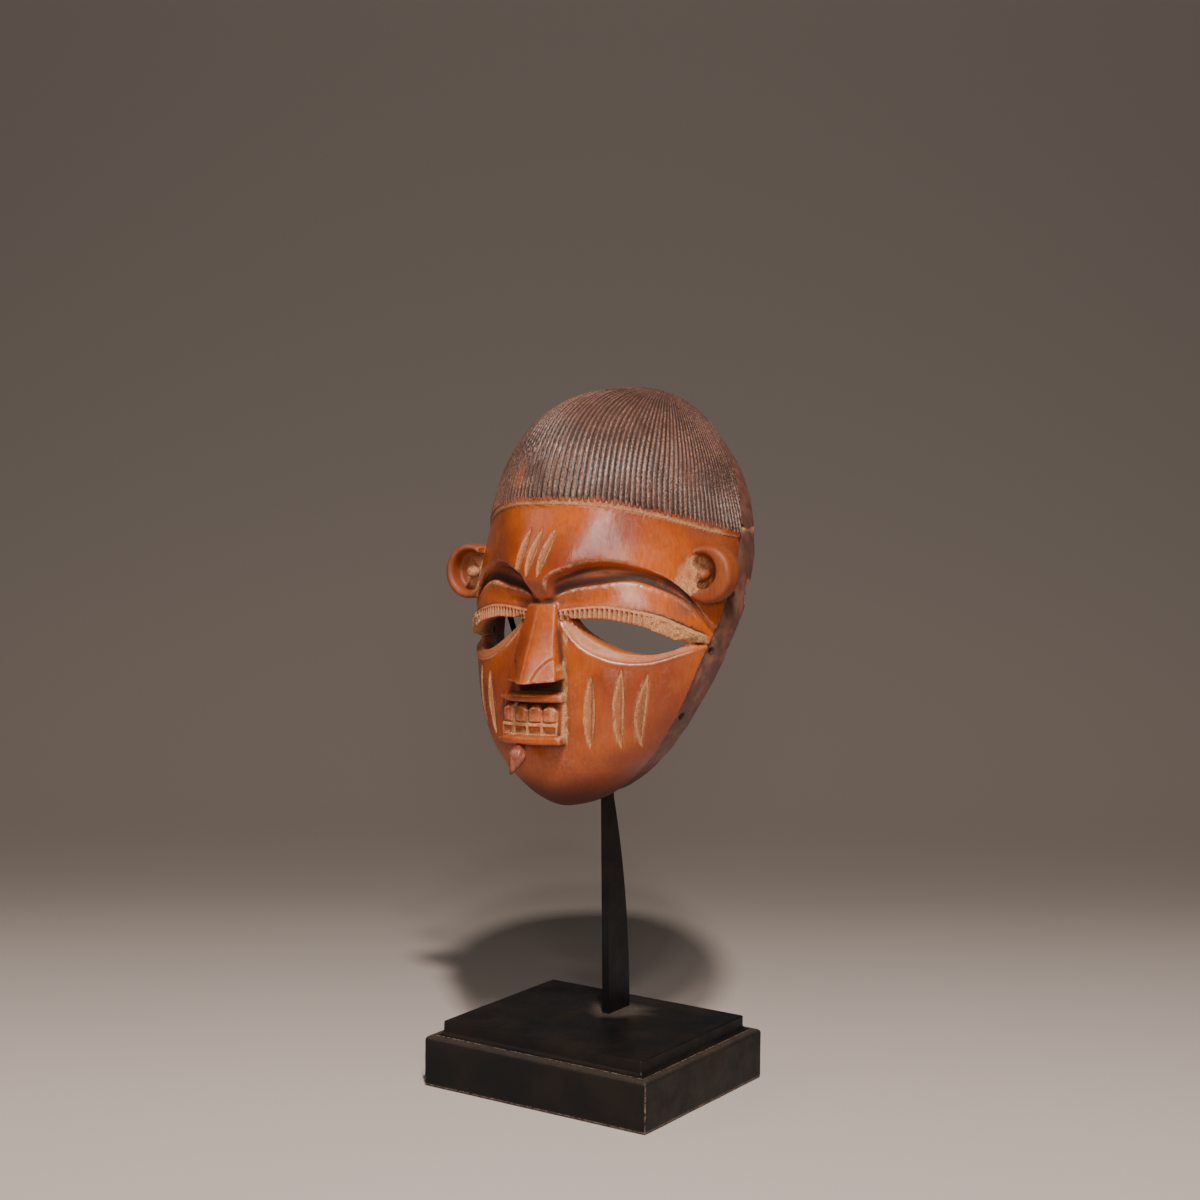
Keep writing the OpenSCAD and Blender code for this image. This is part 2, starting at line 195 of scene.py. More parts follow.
def form_distance(p, seat, wall, front):
    """Distance outside the plain head form, with wall off its sides and front off its face."""
    radius, outline, _, crest, n = seat
    back = np.maximum(0, p[:, 1] - crest)
    reach = (outline - wall) * (1 - 0.5 * (back / 100) ** 2)
    depth = crest + FACE_Y - front
    u = radius / reach
    v = np.maximum(0, crest - p[:, 1]) / depth
    level = np.maximum(1e-3, (u ** n + v ** n) ** (1 / n))
    steep = np.hypot((u / level) ** (n - 1) / reach, (v / level) ** (n - 1) / depth)
    return (level - 1) / np.maximum(steep, 1e-4)


def face_y(x, z):
    """How far back the plain face lies at a place seen from the front."""
    x, z = np.broadcast_arrays(np.asarray(x, float), np.asarray(z, float))
    angle = np.arctan2(z - MID_Z, x)
    outline, crest, n = (np.interp(angle, angle_table, t)
                         for t in (outline_table, crest_table, square_table))
    share = np.minimum(1, np.hypot(x, z - MID_Z) / outline)
    return crest - (crest + FACE_Y) * (1 - share ** n) ** (1 / n)


# ------------ carved features

# The features lean on the head: they climb by this share towards the wearer's left.
LEAN = 0.049


def leaned(p):
    return np.stack([p[:, 0], p[:, 1], p[:, 2] - LEAN * p[:, 0]], 1)


# Lines of the eye seen from the front: (distance from the middle, height)
BROW = through([(0, 343), (5, 347), (9.5, 355.5), (21, 361), (31, 364), (43.5, 364.4),
                (57, 361.3), (67.2, 356.3), (75, 350.4), (84.4, 339), (92, 324.5), (99, 310)])
LID_TOP = through([(6, 341), (16.6, 346.2), (33.8, 349.4), (54.6, 351), (69.7, 345.1), (83.2, 335),
                   (90.6, 322.6), (98, 309)])
LASH_TOP = through([(10, 333.6), (14.6, 334.7), (43.2, 336.3), (71.3, 329.5), (84, 321.5),
                    (93, 314)])
EYE_TOP = through([(18.5, 328), (26, 328), (43.5, 327.5), (65.2, 321.8), (84, 310.5)])
EYE_LOW = through([(18.5, 328), (26, 320), (37.2, 312.6), (51, 305.8), (65, 303.2), (77, 305.4),
                   (84, 310.5)])
RIDGE = through([(11, 331), (13.4, 326.3), (27.1, 310.8), (43.2, 301.7), (57.4, 298), (70.3, 298.1),
                 (82, 302.1), (91.6, 306)])
# How deep the groove under the brow and the lid lie: (distance from the middle, depth)
GROOVE_DEEP = through([(0, 0), (6, 1.5), (12, 7), (20, 9.5), (40, 8.5), (60, 6.5), (75, 4.5),
                       (88, 2), (97, 0)])
LID_DEEP = through([(0, 0), (8, 3), (15, 5), (30, 4.2), (60, 2.6), (80, 1.6), (92, 0.8), (98, 0)])
EYE_INNER = 18.5
EYE_OUTER = 84
LASH_PITCH = 3.3
LASH_OUT = 2.3


def lash_run():
    """Length along the lash strip against distance from the middle."""
    u = np.linspace(10, 93, 400)
    z = LASH_TOP(u)
    steps = np.hypot(np.hypot(np.diff(u), np.diff(z)), np.diff(face_y(u, z)))
    return u, np.concatenate([[0], np.cumsum(steps)])


lash_u, lash_length = lash_run()

# Lens-shaped cuts seen from the front, each from its top end to its bottom end
FOREHEAD_CUTS = [((2 + 9.7 * i, 388), (-6.6 + 8.9 * i, 355)) for i in (-1, 0, 1)]
LEFT_CHEEK_CUTS = [((37, 292), (35.4, 242)), ((54.5, 296), (52.5, 242)), ((68, 293), (60.5, 241.5))]
RIGHT_CHEEK_CUTS = [((-45.4, 292.5), (-40.8, 249)), ((-59, 296), (-53, 252)),
                    ((-70, 294), (-62, 256))]
# Each cut with its width and its depth
ALL_CUTS = ([(c, 7.0, 1.5) for c in FOREHEAD_CUTS]
            + [(c, 9.0, 1.9) for c in LEFT_CHEEK_CUTS + RIGHT_CHEEK_CUTS])

HAIRLINE_Z = 404.5
HAIRLINE_DROP = 28
HAIRLINE_HALF = 95.7
HAIR_T = 2.35
# Strands in half a turn round the whorl, which is at (x, y)
STRANDS = 114
WHORL = (6.0, 80.0)
WHORL_TWIST = 0.35
WHORL_R = 16
STRAND_DEEP = 2.1
FULL_PITCH = 3.2


def hairline(u):
    return HAIRLINE_Z - HAIRLINE_DROP * (np.abs(u) / HAIRLINE_HALF) ** 2.6


def bulge(q):
    """The swell of the forehead."""
    return (10 * np.exp(-(q[:, 0] / 34) ** 2) * smooth((q[:, 2] - 338) / 18)
            * smooth((404 - q[:, 2]) / 44))


def cut_place(q, line, width):
    """Share across from -1 to 1, share along from 0 to 1, and half the width of a cut there."""
    (x1, z1), (x0, z0) = line
    along = (q[:, 2] - z0) / (z1 - z0)
    middle = x0 + (x1 - x0) * along
    mid_x, mid_z = (x0 + x1) / 2, (z0 + z1) / 2
    turn = (face_y(mid_x + 2, mid_z) - face_y(mid_x - 2, mid_z)) / 4
    half = width / 2 * np.sin(np.pi * np.clip(along, 0, 1)) ** 0.8 / math.hypot(1, turn)
    return (q[:, 0] - middle) / np.maximum(half, 0.01), along, half


def cut_depth(q):
    """Depth of all the lens-shaped cuts, and how much of a place is cut."""
    deep = np.zeros(len(q))
    share = np.zeros(len(q))
    front = q[:, 1] < 20
    for line, width, depth in ALL_CUTS:
        across, along, half = cut_place(q, line, width)
        inside = front & (along > 0) & (along < 1)
        fill = np.where(inside, np.clip(1 - np.abs(across), 0, 1), 0)
        narrow = np.clip(half / 2.5, 0, 1)
        ditch = np.where(inside, np.clip(1 - np.abs(across) * half / 0.9, 0, 1), 0)
        deep = np.maximum(deep, depth * narrow * fill + 0.7 * ditch * narrow)
        edge = smooth(fill * half / 0.6) * (0.4 + 0.6 * smooth((1.6 - fill * half) / 0.9))
        share = np.maximum(share, edge)
    return deep, share


def eye_zone(q):
    """Relief of the brow, the lid, the lashes and the lower lid."""
    u, z = np.abs(q[:, 0]), q[:, 2]
    top, lash, low, ridge, lid = EYE_TOP(u), LASH_TOP(u), EYE_LOW(u), RIDGE(u), LID_TOP(u)
    front = q[:, 1] < 15
    roll = 7.5 - 4.5 * smooth((u - 55) / 30)
    under_brow = smooth((BROW(u) + 2.0 - z) / roll)
    on_lid = smooth((lid + 0.9 - z) / 1.8)
    down_lid = np.clip((lid - z) / np.maximum(lid - lash, 1), 0, 1)
    lid_deep = LID_DEEP(u) * (1 - 0.7 * down_lid)
    above_eye = smooth((z - (top + low) / 2) / 3)
    groove = under_brow * ((1 - on_lid) * GROOVE_DEEP(u) + on_lid * lid_deep)
    inner_fade = smooth((z - 322) / 16)
    relief = -groove * np.where(u > 18, above_eye, inner_fade)
    reach = smooth((u - 12) / 6) * smooth((94 - u) / 8)
    bevel = 4.0 * np.clip((z - ridge) / np.maximum(low - ridge + 1, 1), 0, 1.3)
    relief = relief - bevel * reach * (1 - above_eye) * (z > ridge)
    relief = relief + 0.8 * reach * np.exp(-((z - ridge) / 1.8) ** 2)
    strip = (smooth((z - top + 1.2) / 0.9) * smooth((lash - z) / 1.0)
             * smooth((u - 12) / 2) * smooth((93 - u) / 3))
    run = np.interp(u, lash_u, lash_length)
    gap = (0.5 + 0.5 * np.cos(2 * np.pi * run / LASH_PITCH)) ** 1.3
    wear = 1 - 0.75 * smooth((u - 66) / 8)
    teeth = gap * smooth((lash - 1.5 - z) / 0.8) * wear
    rough = (lumps(q, 2.2, 5) - 0.5) * 1.8 * smooth((u - 60) / 8)
    relief = relief + strip * (LASH_OUT * (1 - 0.95 * teeth) + rough)
    crease = hill((z - 310.5 + 0.35 * (u - 84)) / 1.1) * smooth((u - 83) / 2) * smooth((97 - u) / 3)
    return np.where(front, relief - 0.9 * crease, 0)


def eye_hole(q):
    u, z = np.abs(q[:, 0]), q[:, 2]
    gap = np.maximum(EYE_LOW(u) - z, z - EYE_TOP(u))
    gap = np.maximum(gap, np.maximum(EYE_INNER - u, u - EYE_OUTER))
    return np.maximum(gap, q[:, 1] - 20)


# Added features end at this depth, inside the block
ROOT_Y = -58.0

# The nose at its bridge, and how far each value grows to the tip
NOSE_TOP = 337.5
NOSE_LOW = 287.0
RIDGE_Y, RIDGE_GROWS = -70.0, 21.2
NOSE_HALF, NOSE_WIDENS = 11, 8
SIDE_Y, SIDE_GROWS = -66.0, 12.5


def nose(q):
    u, y, z = np.abs(q[:, 0]), q[:, 1], q[:, 2]
    t = np.clip((NOSE_TOP - z) / (NOSE_TOP - NOSE_LOW), 0, 1)
    ridge_y = RIDGE_Y - RIDGE_GROWS * t
    edge_x = NOSE_HALF + NOSE_WIDENS * t ** 1.1
    edge_y = SIDE_Y - SIDE_GROWS * t
    eased = np.sqrt(u * u + 5) - math.sqrt(5)
    slope = (edge_y - ridge_y) / edge_x
    e = np.hypot((u - 20) / 15, (z - 286) / 19)
    wing = 1.3 * smooth((1 - e) / 0.1) * (1 - 0.55 * smooth((1 - e) / 0.8))
    side = (ridge_y + slope * eased + wing - y) / np.sqrt(1 + slope * slope)
    wall = u - edge_x - 0.6 * hill((z - 292) / 9)
    ends = np.maximum(NOSE_LOW + 0.08 * (y + 90) - z, z - NOSE_TOP - 0.1 * (y + 70))
    solid = common(side, wall, 1.2)
    return np.maximum(common(solid, ends, 1.5), y - ROOT_Y)


MOUTH_X = -5.0
MOUTH_LOW = 247.0
LIP_CURVE = 68.0
# Each lip: height of its middle, half width, how far its front stands out, thickness
UPPER_LIP = (276.3, 24.4, 76.5, 5.6)
LOWER_LIP = (248.6, 24.8, 79.0, 5.6)


def lip(q, middle, half, front, h):
    """A bar with a rounded front that follows a wide curve."""
    x, y, z = q[:, 0] - MOUTH_X, q[:, 1], q[:, 2]
    out = np.hypot(x, y + front - LIP_CURVE) - LIP_CURVE
    taper = np.where(x < 0, 0.35 + 0.65 * smooth((half + 1 - np.abs(x)) / 9), 1)
    body = common(np.abs(z - middle) - h / 2 * taper, out, 2.6)
    return np.maximum(common(body, np.abs(x) - half, 1.0), y - ROOT_Y)


TEETH_X = -7.2
TOOTH_PITCH = 10.9
TOOTH_SPLIT = 259.6
TOOTH_TOP = 272.5
TOOTH_FRONT = -72.8
# The flat block behind the teeth
GUM_TOP = 278.5
GUM_HALF = 24
GUM_FRONT = -67.6


def teeth(q):
    """Two rows of four squared teeth on a flat block: rounded above, cut by thin bars below."""
    x, y, z = q[:, 0] - TEETH_X, q[:, 1], q[:, 2]
    place = (x / TOOTH_PITCH + 2) % 1 - 0.5
    side = (2 * place) ** 2
    upper = smooth((z - TOOTH_SPLIT) / 0.6)
    crown = 1.9 * side * side + 4 * smooth((z - TOOTH_TOP + 3.2 + 2.4 * side) / 3.4)
    cell = 0.9 * (1 - smooth((np.abs(place) - 0.38) / 0.06))
    cell = cell * smooth((TOOTH_SPLIT - 2.2 - z) / 0.8)
    line = 1.3 * hill((z - TOOTH_SPLIT) / 0.9)
    front = TOOTH_FRONT + 0.006 * x * x + upper * crown + (1 - upper) * (cell + 0.3) + line
    block = np.maximum(np.maximum(MOUTH_LOW - z, z - TOOTH_TOP), np.abs(x) - 2 * TOOTH_PITCH)
    rows = np.maximum(np.maximum(front - y, block), y - ROOT_Y)
    gum = np.maximum(np.maximum(MOUTH_LOW - z, z - GUM_TOP), np.abs(q[:, 0] - MOUTH_X) - GUM_HALF)
    return np.minimum(rows, np.maximum(np.maximum(GUM_FRONT - y, gum), y - ROOT_Y))


EAR = (95.5, 354.5)
EAR_R = 18.9
EAR_ROOT = 86.5
# Inside each ear: (out, back, height) and radius
EAR_KNOB = ((93, -17, 354), 3.9)
EAR_HOLLOW = ((93.5, -20, 363.5), 4.0)
EAR_PIT = ((95.5, -20, 348.5), 2.4)


def deep_ball(u, y, z, spot, r, stretch):
    """Distance from a ball drawn out front to back."""
    return np.sqrt((u - spot[0]) ** 2 + (y - spot[1]) ** 2 * stretch + (z - spot[2]) ** 2) - r


def ear(q):
    """A cup on each side of the head, deeper and narrower on the wearer's left."""
    u, y, z = np.abs(q[:, 0]), q[:, 1], q[:, 2]
    left = q[:, 0] > 0
    r = np.hypot(u - EAR[0], z - EAR[1])
    hollow_x = EAR[0] - np.where(left, 4.0, 1.0)
    hollow_r = np.where(left, 11.6, 14.2)
    inner_r = np.hypot(u - hollow_x, z - EAR[1] - np.where(left, 2.0, 0.5))
    band = common(common(r - EAR_R, hollow_r - inner_r, 2.0), np.abs(y + 14) - 7.7, 4.2)
    floor = common(r - EAR_R + 2, np.abs(y + 8.4) - 2.2, 1.5)
    solid = join(band, floor, 3.0)
    solid = join(solid, deep_ball(u, y, z, *EAR_KNOB, 0.5), 1.2)
    solid = cut(solid, deep_ball(u, y, z, *EAR_HOLLOW, 0.4), 1)
    solid = cut(solid, deep_ball(u, y, z, *EAR_PIT, 0.4), 0.6)
    return np.maximum(solid, EAR_ROOT - u)


# Tie holes on the wearer's left: out, back, height and slope, as in the CAD
TIE_SPOTS = [(87, 38, 385, 20), (89, -4, 308, -12), (72, -12, 265.5, -33)]
TIE_R = 1.8
TILT_Y, TILT_Z = 11.5, 348.5
CLAW_HOLE_R = 2.7


def side_holes(p):
    """Bores through the rim, with a worn mouth on the outside."""
    u = np.abs(p[:, 0])
    holes = np.hypot(p[:, 1] - TILT_Y, p[:, 2] - TILT_Z) - CLAW_HOLE_R
    holes = np.maximum(holes, 75 - u)
    for out, back, height, slope in TIE_SPOTS:
        c, s = math.cos(math.radians(slope)), math.sin(math.radians(slope))
        along = (u - out) * c + (p[:, 2] - height) * s
        lift = -(u - out) * s + (p[:, 2] - height) * c
        bore = np.hypot(p[:, 1] - back, lift) - TIE_R - 0.35 * np.maximum(0, along - 1.5)
        holes = np.minimum(holes, np.maximum(bore, np.abs(along) - 15))
    return holes


# Where the rim is chipped: (spot, radius)
CHIPS = [((98, 33, 346), 4.6), ((97, 29, 339), 2.6), ((92.5, 14, 305), 2.4), ((83, 8, 275), 1.8),
         ((99, 48, 378), 2.0), ((-96, 30, 338), 3.4), ((-84, 12, 290), 2.8)]


def rim_chips(p):
    chips = np.full(len(p), 50.0)
    for spot, r in CHIPS:
        d = p - np.array(spot)
        chips = np.minimum(chips, np.sqrt((d[:, 0] * 0.8) ** 2 + (d[:, 1] * 1.1) ** 2
                                          + (d[:, 2] * 0.8) ** 2) - r)
    return chips + (lumps(p, 2.0, 3) - 0.5) * 1.6


def block_field(p):
    """Signed distance of the carved block, hair cap left plain."""
    seat = around(p)
    q = leaned(p)
    rim = seat[2]
    outer = form_distance(p, seat, 0, 0)
    inner = form_distance(p, seat, WALL_RIM, WALL_FACE)
    band = smooth((p[:, 1] - rim + BAND_W + 0.6 * (lumps(p, 14, 2) - 0.5)) / 1.6)
    hand = (lumps(p, 26) - 0.5) * 0.9 + (lumps(p, 9, 4) - 0.5) * 0.22
    ledge = 1.0 * smooth((q[:, 2] - hairline(q[:, 0]) + 2.6) / 0.8)
    skin = bulge(q) + eye_zone(q) - cut_depth(q)[0] + ledge + hand
    rough = (lumps(p, (5, 5, 9), 8) - 0.5) * 0.9
    solid = outer - skin * (1 - band) - (rough - BAND_T) * band
    solid = join(solid, nose(q), 1.4)
    solid = join(solid, teeth(q), 0.5)
    solid = join(solid, lip(q, *UPPER_LIP), 0.7)
    solid = join(solid, lip(q, *LOWER_LIP), 0.7)
    solid = cut(solid, eye_hole(q), 0.8)
    scoops = np.abs(lumps(p, (13, 13, 30), 6) - 0.5) * 4.2 - 1.0
    solid = cut(solid, inner - np.clip(scoops, -1, 0.9), 1.6)
    edge = rim + (lumps(p, 12, 9) - 0.5) * 1.4 - 0.9
    solid = common(solid, p[:, 1] - edge, 1.8)
    solid = join(solid, ear(q), 2.2)
    solid = cut(solid, side_holes(p), 0.4)
    return cut(solid, rim_chips(p), 0.5)


def strand_place(p):
    """Which strand of hair a point is on, counted round the whorl, and the strands' pitch."""
    x, back = p[:, 0] - WHORL[0], WHORL[1] - p[:, 1]
    away = np.hypot(x, back)
    swirl = WHORL_TWIST * np.exp(-away / WHORL_R)
    psi = np.arctan2(x, back) + swirl
    wander = (lumps(p, (30, 30, 60), 3) - 0.5) * 0.7
    return psi / (2 * np.pi) * 2 * STRANDS + wander, 2 * np.pi * away / (2 * STRANDS)


def hair_field(p):
    """Signed distance of the hair cap: rounded cords that hang from the whorl."""
    seat = around(p)
    q = leaned(p)
    outer = form_distance(p, seat, 0, 0)
    place, pitch = strand_place(p)
    count = np.floor(place).astype(int)
    across = (place - count) * 2 - 1
    cord = np.sqrt(np.clip(1 - 0.92 * across * across, 0, 1))
    deep = STRAND_DEEP * np.clip(pitch / FULL_PITCH, 0.12, 1)
    odd = lattice[count % LATTICE, (count // LATTICE) % LATTICE, 5]
    out = HAIR_T - deep + deep * cord + (odd - 0.5) * 0.5 + (lumps(p, 30, 2) - 0.5) * 0.8
    fringe = hairline(q[:, 0]) + (odd - 0.5) * 1.6 + 1.2 * np.abs(across) ** 2
    near_edge = smooth((q[:, 2] - fringe) / 5)
    top = outer - out + 0.9 * (1 - near_edge)
    solid = common(top, fringe - q[:, 2] + 0.25 * outer, 1.2)
    solid = common(solid, p[:, 1] - seat[2] + BAND_W + 0.8 * (odd - 0.5), 1.0)
    return np.maximum(solid, -outer - 3.0)


# ------------ field to mesh

CELL = 3.0
NEAR = 4.6
FAR = 4.0
CHUNK = 16000
COARSE_CHUNK = 500000


def sample_field(field, low, high, split):
    """Distances on a fine grid, worked out only near the surface."""
    low = np.floor(np.array(low) / CELL - 2) * CELL
    size = np.ceil((np.array(high) - low) / CELL + 2).astype(int)
    axes = [low[i] + (np.arange(size[i]) + 0.5) * CELL for i in range(3)]
    centre = np.stack(np.meshgrid(*axes, indexing="ij"), -1).reshape(-1, 3)
    coarse = np.concatenate([field(centre[i:i + COARSE_CHUNK])
                             for i in range(0, len(centre), COARSE_CHUNK)])
    near = np.flatnonzero(np.abs(coarse) < NEAR)
    voxel = CELL / split
    offset = (np.arange(split) + 0.5) * voxel - CELL / 2
    offset = np.stack(np.meshgrid(offset, offset, offset, indexing="ij"), -1).reshape(-1, 3)
    wide = np.clip(coarse, -FAR, FAR).astype(np.float32).reshape(size)
    fine = wide.repeat(split, 0).repeat(split, 1).repeat(split, 2)
    blocks = fine.reshape(size[0], split, size[1], split, size[2], split)
    at = np.stack(np.unravel_index(near, size), 1)
    for i in range(0, len(near), CHUNK):
        some = near[i:i + CHUNK]
        p = (centre[some][:, None] + offset[None]).reshape(-1, 3)
        value = np.clip(field(p), -FAR, FAR).astype(np.float32)
        value = value.reshape(-1, split, split, split)
        a, b, c = at[i:i + CHUNK].T
        blocks[a, :, b, :, c, :] = value
    return fine, low + voxel / 2, voxel


def mesh_from(name, points, faces):
    """A mesh from arrays; faces all have the same number of corners."""
    mesh = bpy.data.meshes.new(name)
    count, corners = faces.shape
    mesh.vertices.add(len(points))
    mesh.vertices.foreach_set("co", np.ascontiguousarray(points, np.float32).ravel())
    mesh.loops.add(count * corners)
    mesh.loops.foreach_set("vertex_index", np.ascontiguousarray(faces, np.int32).ravel())
    mesh.polygons.add(count)
    mesh.polygons.foreach_set("loop_start", np.arange(count, dtype=np.int32) * corners)
    mesh.update(calc_edges=True)
    mesh.validate()
    return mesh


def add_object(name, mesh):
    obj = bpy.data.objects.new(name, mesh)
    bpy.context.scene.collection.objects.link(obj)
    return obj


def coordinates(mesh):
    co = np.empty(len(mesh.vertices) * 3, np.float32)
    mesh.vertices.foreach_get("co", co)
    return co.reshape(-1, 3).astype(float)


def applied(obj):
    """The object with its modifiers applied."""
    graph = bpy.context.evaluated_depsgraph_get()
    mesh = bpy.data.meshes.new_from_object(obj.evaluated_get(graph))
    obj.modifiers.clear()
    old, obj.data = obj.data, mesh
    bpy.data.meshes.remove(old)
    return obj


def carve(name, field, low, high, split, most):
    """A solid cut from a distance field, with no more than that many triangles."""
    fine, origin, voxel = sample_field(field, low, high, split)
    grid = openvdb.FloatGrid(FAR)
    grid.copyFromArray(fine)
    points, _, quads = grid.convertToPolygons(0.0, 0.0)
    points = (np.asarray(points) * voxel + origin) * MM
    obj = add_object(name, mesh_from(name, points, np.asarray(quads)[:, ::-1]))
    triangles = 2 * len(quads)
    if triangles > most:
        thin = obj.modifiers.new("thin", "DECIMATE")
        thin.ratio = most / triangles
        applied(obj)
    obj.data.shade_smooth()
    return obj


def paint(obj, **layers):
    """Named numbers on the vertices, for the material to read."""
    for name, value in layers.items():
        layer = obj.data.attributes.new(name, "FLOAT", "POINT")
        layer.data.foreach_set("value", np.ascontiguousarray(np.clip(value, 0, 4), np.float32))


def turn_of(field, p, step):
    """How much the surface turns within that distance: above 0 on edges, below 0 in hollows."""
    total = -6 * field(p)
    for axis in range(3):
        for sign in (-1, 1):
            total = total + field(p + np.eye(3)[axis] * step * sign)
    return total / step


# ------------ materials


class Nodes:
    """Short names for building a material."""

    def __init__(self, name):
        self.material = bpy.data.materials.new(name)
        self.material.use_nodes = True
        self.tree = self.material.node_tree
        self.tree.nodes.clear()
        self.shader = self.tree.nodes.new("ShaderNodeBsdfPrincipled")
        out = self.tree.nodes.new("ShaderNodeOutputMaterial")
        self.link(self.shader.outputs[0], out.inputs[0])
        self.place = self.tree.nodes.new("ShaderNodeTexCoord").outputs["Object"]

    def link(self, a, b):
        self.tree.links.new(a, b)

    def put(self, value, socket):
        if isinstance(value, (int, float)):
            socket.default_value = value
        elif isinstance(value, tuple):
            socket.default_value = value + (1,) if len(value) == 3 else value
        else:
            self.link(value, socket)

    def attribute(self, name):
        node = self.tree.nodes.new("ShaderNodeAttribute")
        node.attribute_name = name
        return node.outputs["Fac"]

    def noise(self, size, detail=3, rough=0.55, stretch=(1, 1, 1)):
        """Noise with features of about that size in metres."""
        node = self.tree.nodes.new("ShaderNodeTexNoise")
        place = self.tree.nodes.new("ShaderNodeMapping")
        self.link(self.place, place.inputs["Vector"])
        place.inputs["Scale"].default_value = tuple(s / size for s in stretch)
        self.link(place.outputs[0], node.inputs["Vector"])
        node.inputs["Scale"].default_value = 1
        node.inputs["Detail"].default_value = detail
        node.inputs["Roughness"].default_value = rough
        return node.outputs["Fac"]

    def math(self, kind, a, b=0.0):
        node = self.tree.nodes.new("ShaderNodeMath")
        node.operation = kind
        self.put(a, node.inputs[0])
        self.put(b, node.inputs[1])
        return node.outputs[0]

    def ramp(self, value, low, high, to_low=0.0, to_high=1.0):
        """value from low..high mapped onto to_low..to_high, held at the ends."""
        node = self.tree.nodes.new("ShaderNodeMapRange")
        node.interpolation_type = "SMOOTHSTEP"
        self.put(value, node.inputs["Value"])
        for key, number in zip(("From Min", "From Max", "To Min", "To Max"),
                               (low, high, to_low, to_high)):
            node.inputs[key].default_value = number
        return node.outputs["Result"]

    def mix(self, share, a, b, kind="MIX"):
        node = self.tree.nodes.new("ShaderNodeMix")
        node.data_type = "RGBA"
        node.blend_type = kind
        self.put(share, node.inputs["Factor"])
        self.put(a, node.inputs[6])
        self.put(b, node.inputs[7])
        return node.outputs[2]

    def bump(self, height, strength, distance):
        node = self.tree.nodes.new("ShaderNodeBump")
        node.inputs["Strength"].default_value = strength
        node.inputs["Distance"].default_value = distance
        self.put(height, node.inputs["Height"])
        if self.shader.inputs["Normal"].links:
            self.link(self.shader.inputs["Normal"].links[0].from_socket, node.inputs["Normal"])
        self.link(node.outputs[0], self.shader.inputs["Normal"])

    def finish(self, colour, rough, **fixed):
        self.put(colour, self.shader.inputs["Base Color"])
        self.put(rough, self.shader.inputs["Roughness"])
        for key, number in fixed.items():
            socket = key.replace("_", " ").title().replace("Ior", "IOR")
            self.shader.inputs[socket].default_value = number
        return self.material


# Linear colours of the wood
ORANGE = (0.43, 0.088, 0.009)
RUST = (0.22, 0.036, 0.008)
# Deep brown for painted shade, with some dirt
DEEP_BROWN = (0.036, 0.008, 0.001)
TAN = (0.62, 0.31, 0.13)
PINK_WEAR = (0.52, 0.25, 0.15)
BAND_BROWN = (0.095, 0.040, 0.030)
GRAIN_DARK = (0.15, 0.028, 0.005)
FLECK_BROWN = (0.26, 0.095, 0.038)
BAND_WEAR = (0.20, 0.080, 0.052)
INSIDE_DARK = (0.075, 0.030, 0.014)
INSIDE_PALE = (0.19, 0.085, 0.04)
HAIR_BROWN = (0.058, 0.029, 0.023)
HAIR_RED = (0.095, 0.042, 0.032)
# Pale crests, worn with a painted highlight, and painted shade for the valleys between strands
HAIR_WEAR_AND_SHEEN = (0.34, 0.19, 0.13)
HAIR_GAP_SHADE = (0.008, 0.004, 0.003)
FRINGE_WEAR = (0.24, 0.075, 0.035)


def wood_material():
    m = Nodes("carved_wood_patina")
    raw, dirt, band, worn, inside = (
        m.attribute(k) for k in ("raw", "dirt", "band", "worn", "inside"))
    patches = m.ramp(m.noise(0.06, 3, 0.5), 0.36, 0.64)
    colour = m.mix(patches, RUST, ORANGE)
    grain = m.noise(0.0016, 4, 0.65, (1, 1, 0.12))
    colour = m.mix(m.ramp(grain, 0.35, 0.75, 0.0, 0.42), colour, GRAIN_DARK)
    mottle = m.ramp(m.noise(0.0026, 5, 0.75), 0.48, 0.72, 0.0, 0.30)
    bloom = m.ramp(m.noise(0.035, 3, 0.6), 0.45, 0.70)
    colour = m.mix(m.math("MULTIPLY", mottle, bloom), colour, PINK_WEAR)
    # Pink on sharp edges: rubbed wear, with a painted highlight along the ridges
    edge_wear_and_sheen, ragged = m.ramp(worn, 0.35, 1.6), m.ramp(m.noise(0.004, 4, 0.7), 0.35, 0.65)
    colour = m.mix(m.math("MULTIPLY", edge_wear_and_sheen, ragged), colour, PINK_WEAR)
    band_tone = m.mix(m.ramp(m.noise(0.012, 5, 0.7), 0.4, 0.66), BAND_BROWN, BAND_WEAR)
    colour = m.mix(band, colour, band_tone)
    inner = m.mix(m.ramp(m.noise(0.02, 5, 0.65), 0.35, 0.7), INSIDE_DARK, INSIDE_PALE)
    colour = m.mix(inside, colour, inner)
    # Deep brown from the layer of painted shade and dirt
    colour = m.mix(m.ramp(dirt, 0.05, 1.0), colour, DEEP_BROWN)
    crumb = m.ramp(m.noise(0.0011, 5, 0.8), 0.34, 0.62)
    flecks = m.mix(crumb, FLECK_BROWN, TAN)
    colour = m.mix(m.ramp(raw, 0.1, 0.9), colour, flecks)
    rough = m.ramp(m.noise(0.01, 4, 0.6), 0.3, 0.7, 0.23, 0.33)
    for share, target in ((band, 0.5), (inside, 0.8), (m.ramp(dirt, 0.1, 0.8), 0.85), (raw, 0.9)):
        node = m.tree.nodes.new("ShaderNodeMix")
        m.put(share, node.inputs[0])
        m.put(rough, node.inputs[2])
        node.inputs[3].default_value = target
        rough = node.outputs[0]
    m.bump(m.noise(0.0009, 4, 0.7), 0.16, 0.0004)
    m.bump(m.noise(0.006, 4, 0.6, (1, 1, 0.4)), 0.22, 0.0009)
    m.bump(m.math("MULTIPLY", m.noise(0.0013, 5, 0.85), raw), 0.9, 0.0012)
    return m.finish(colour, rough, coat_weight=0.05, coat_roughness=0.25)


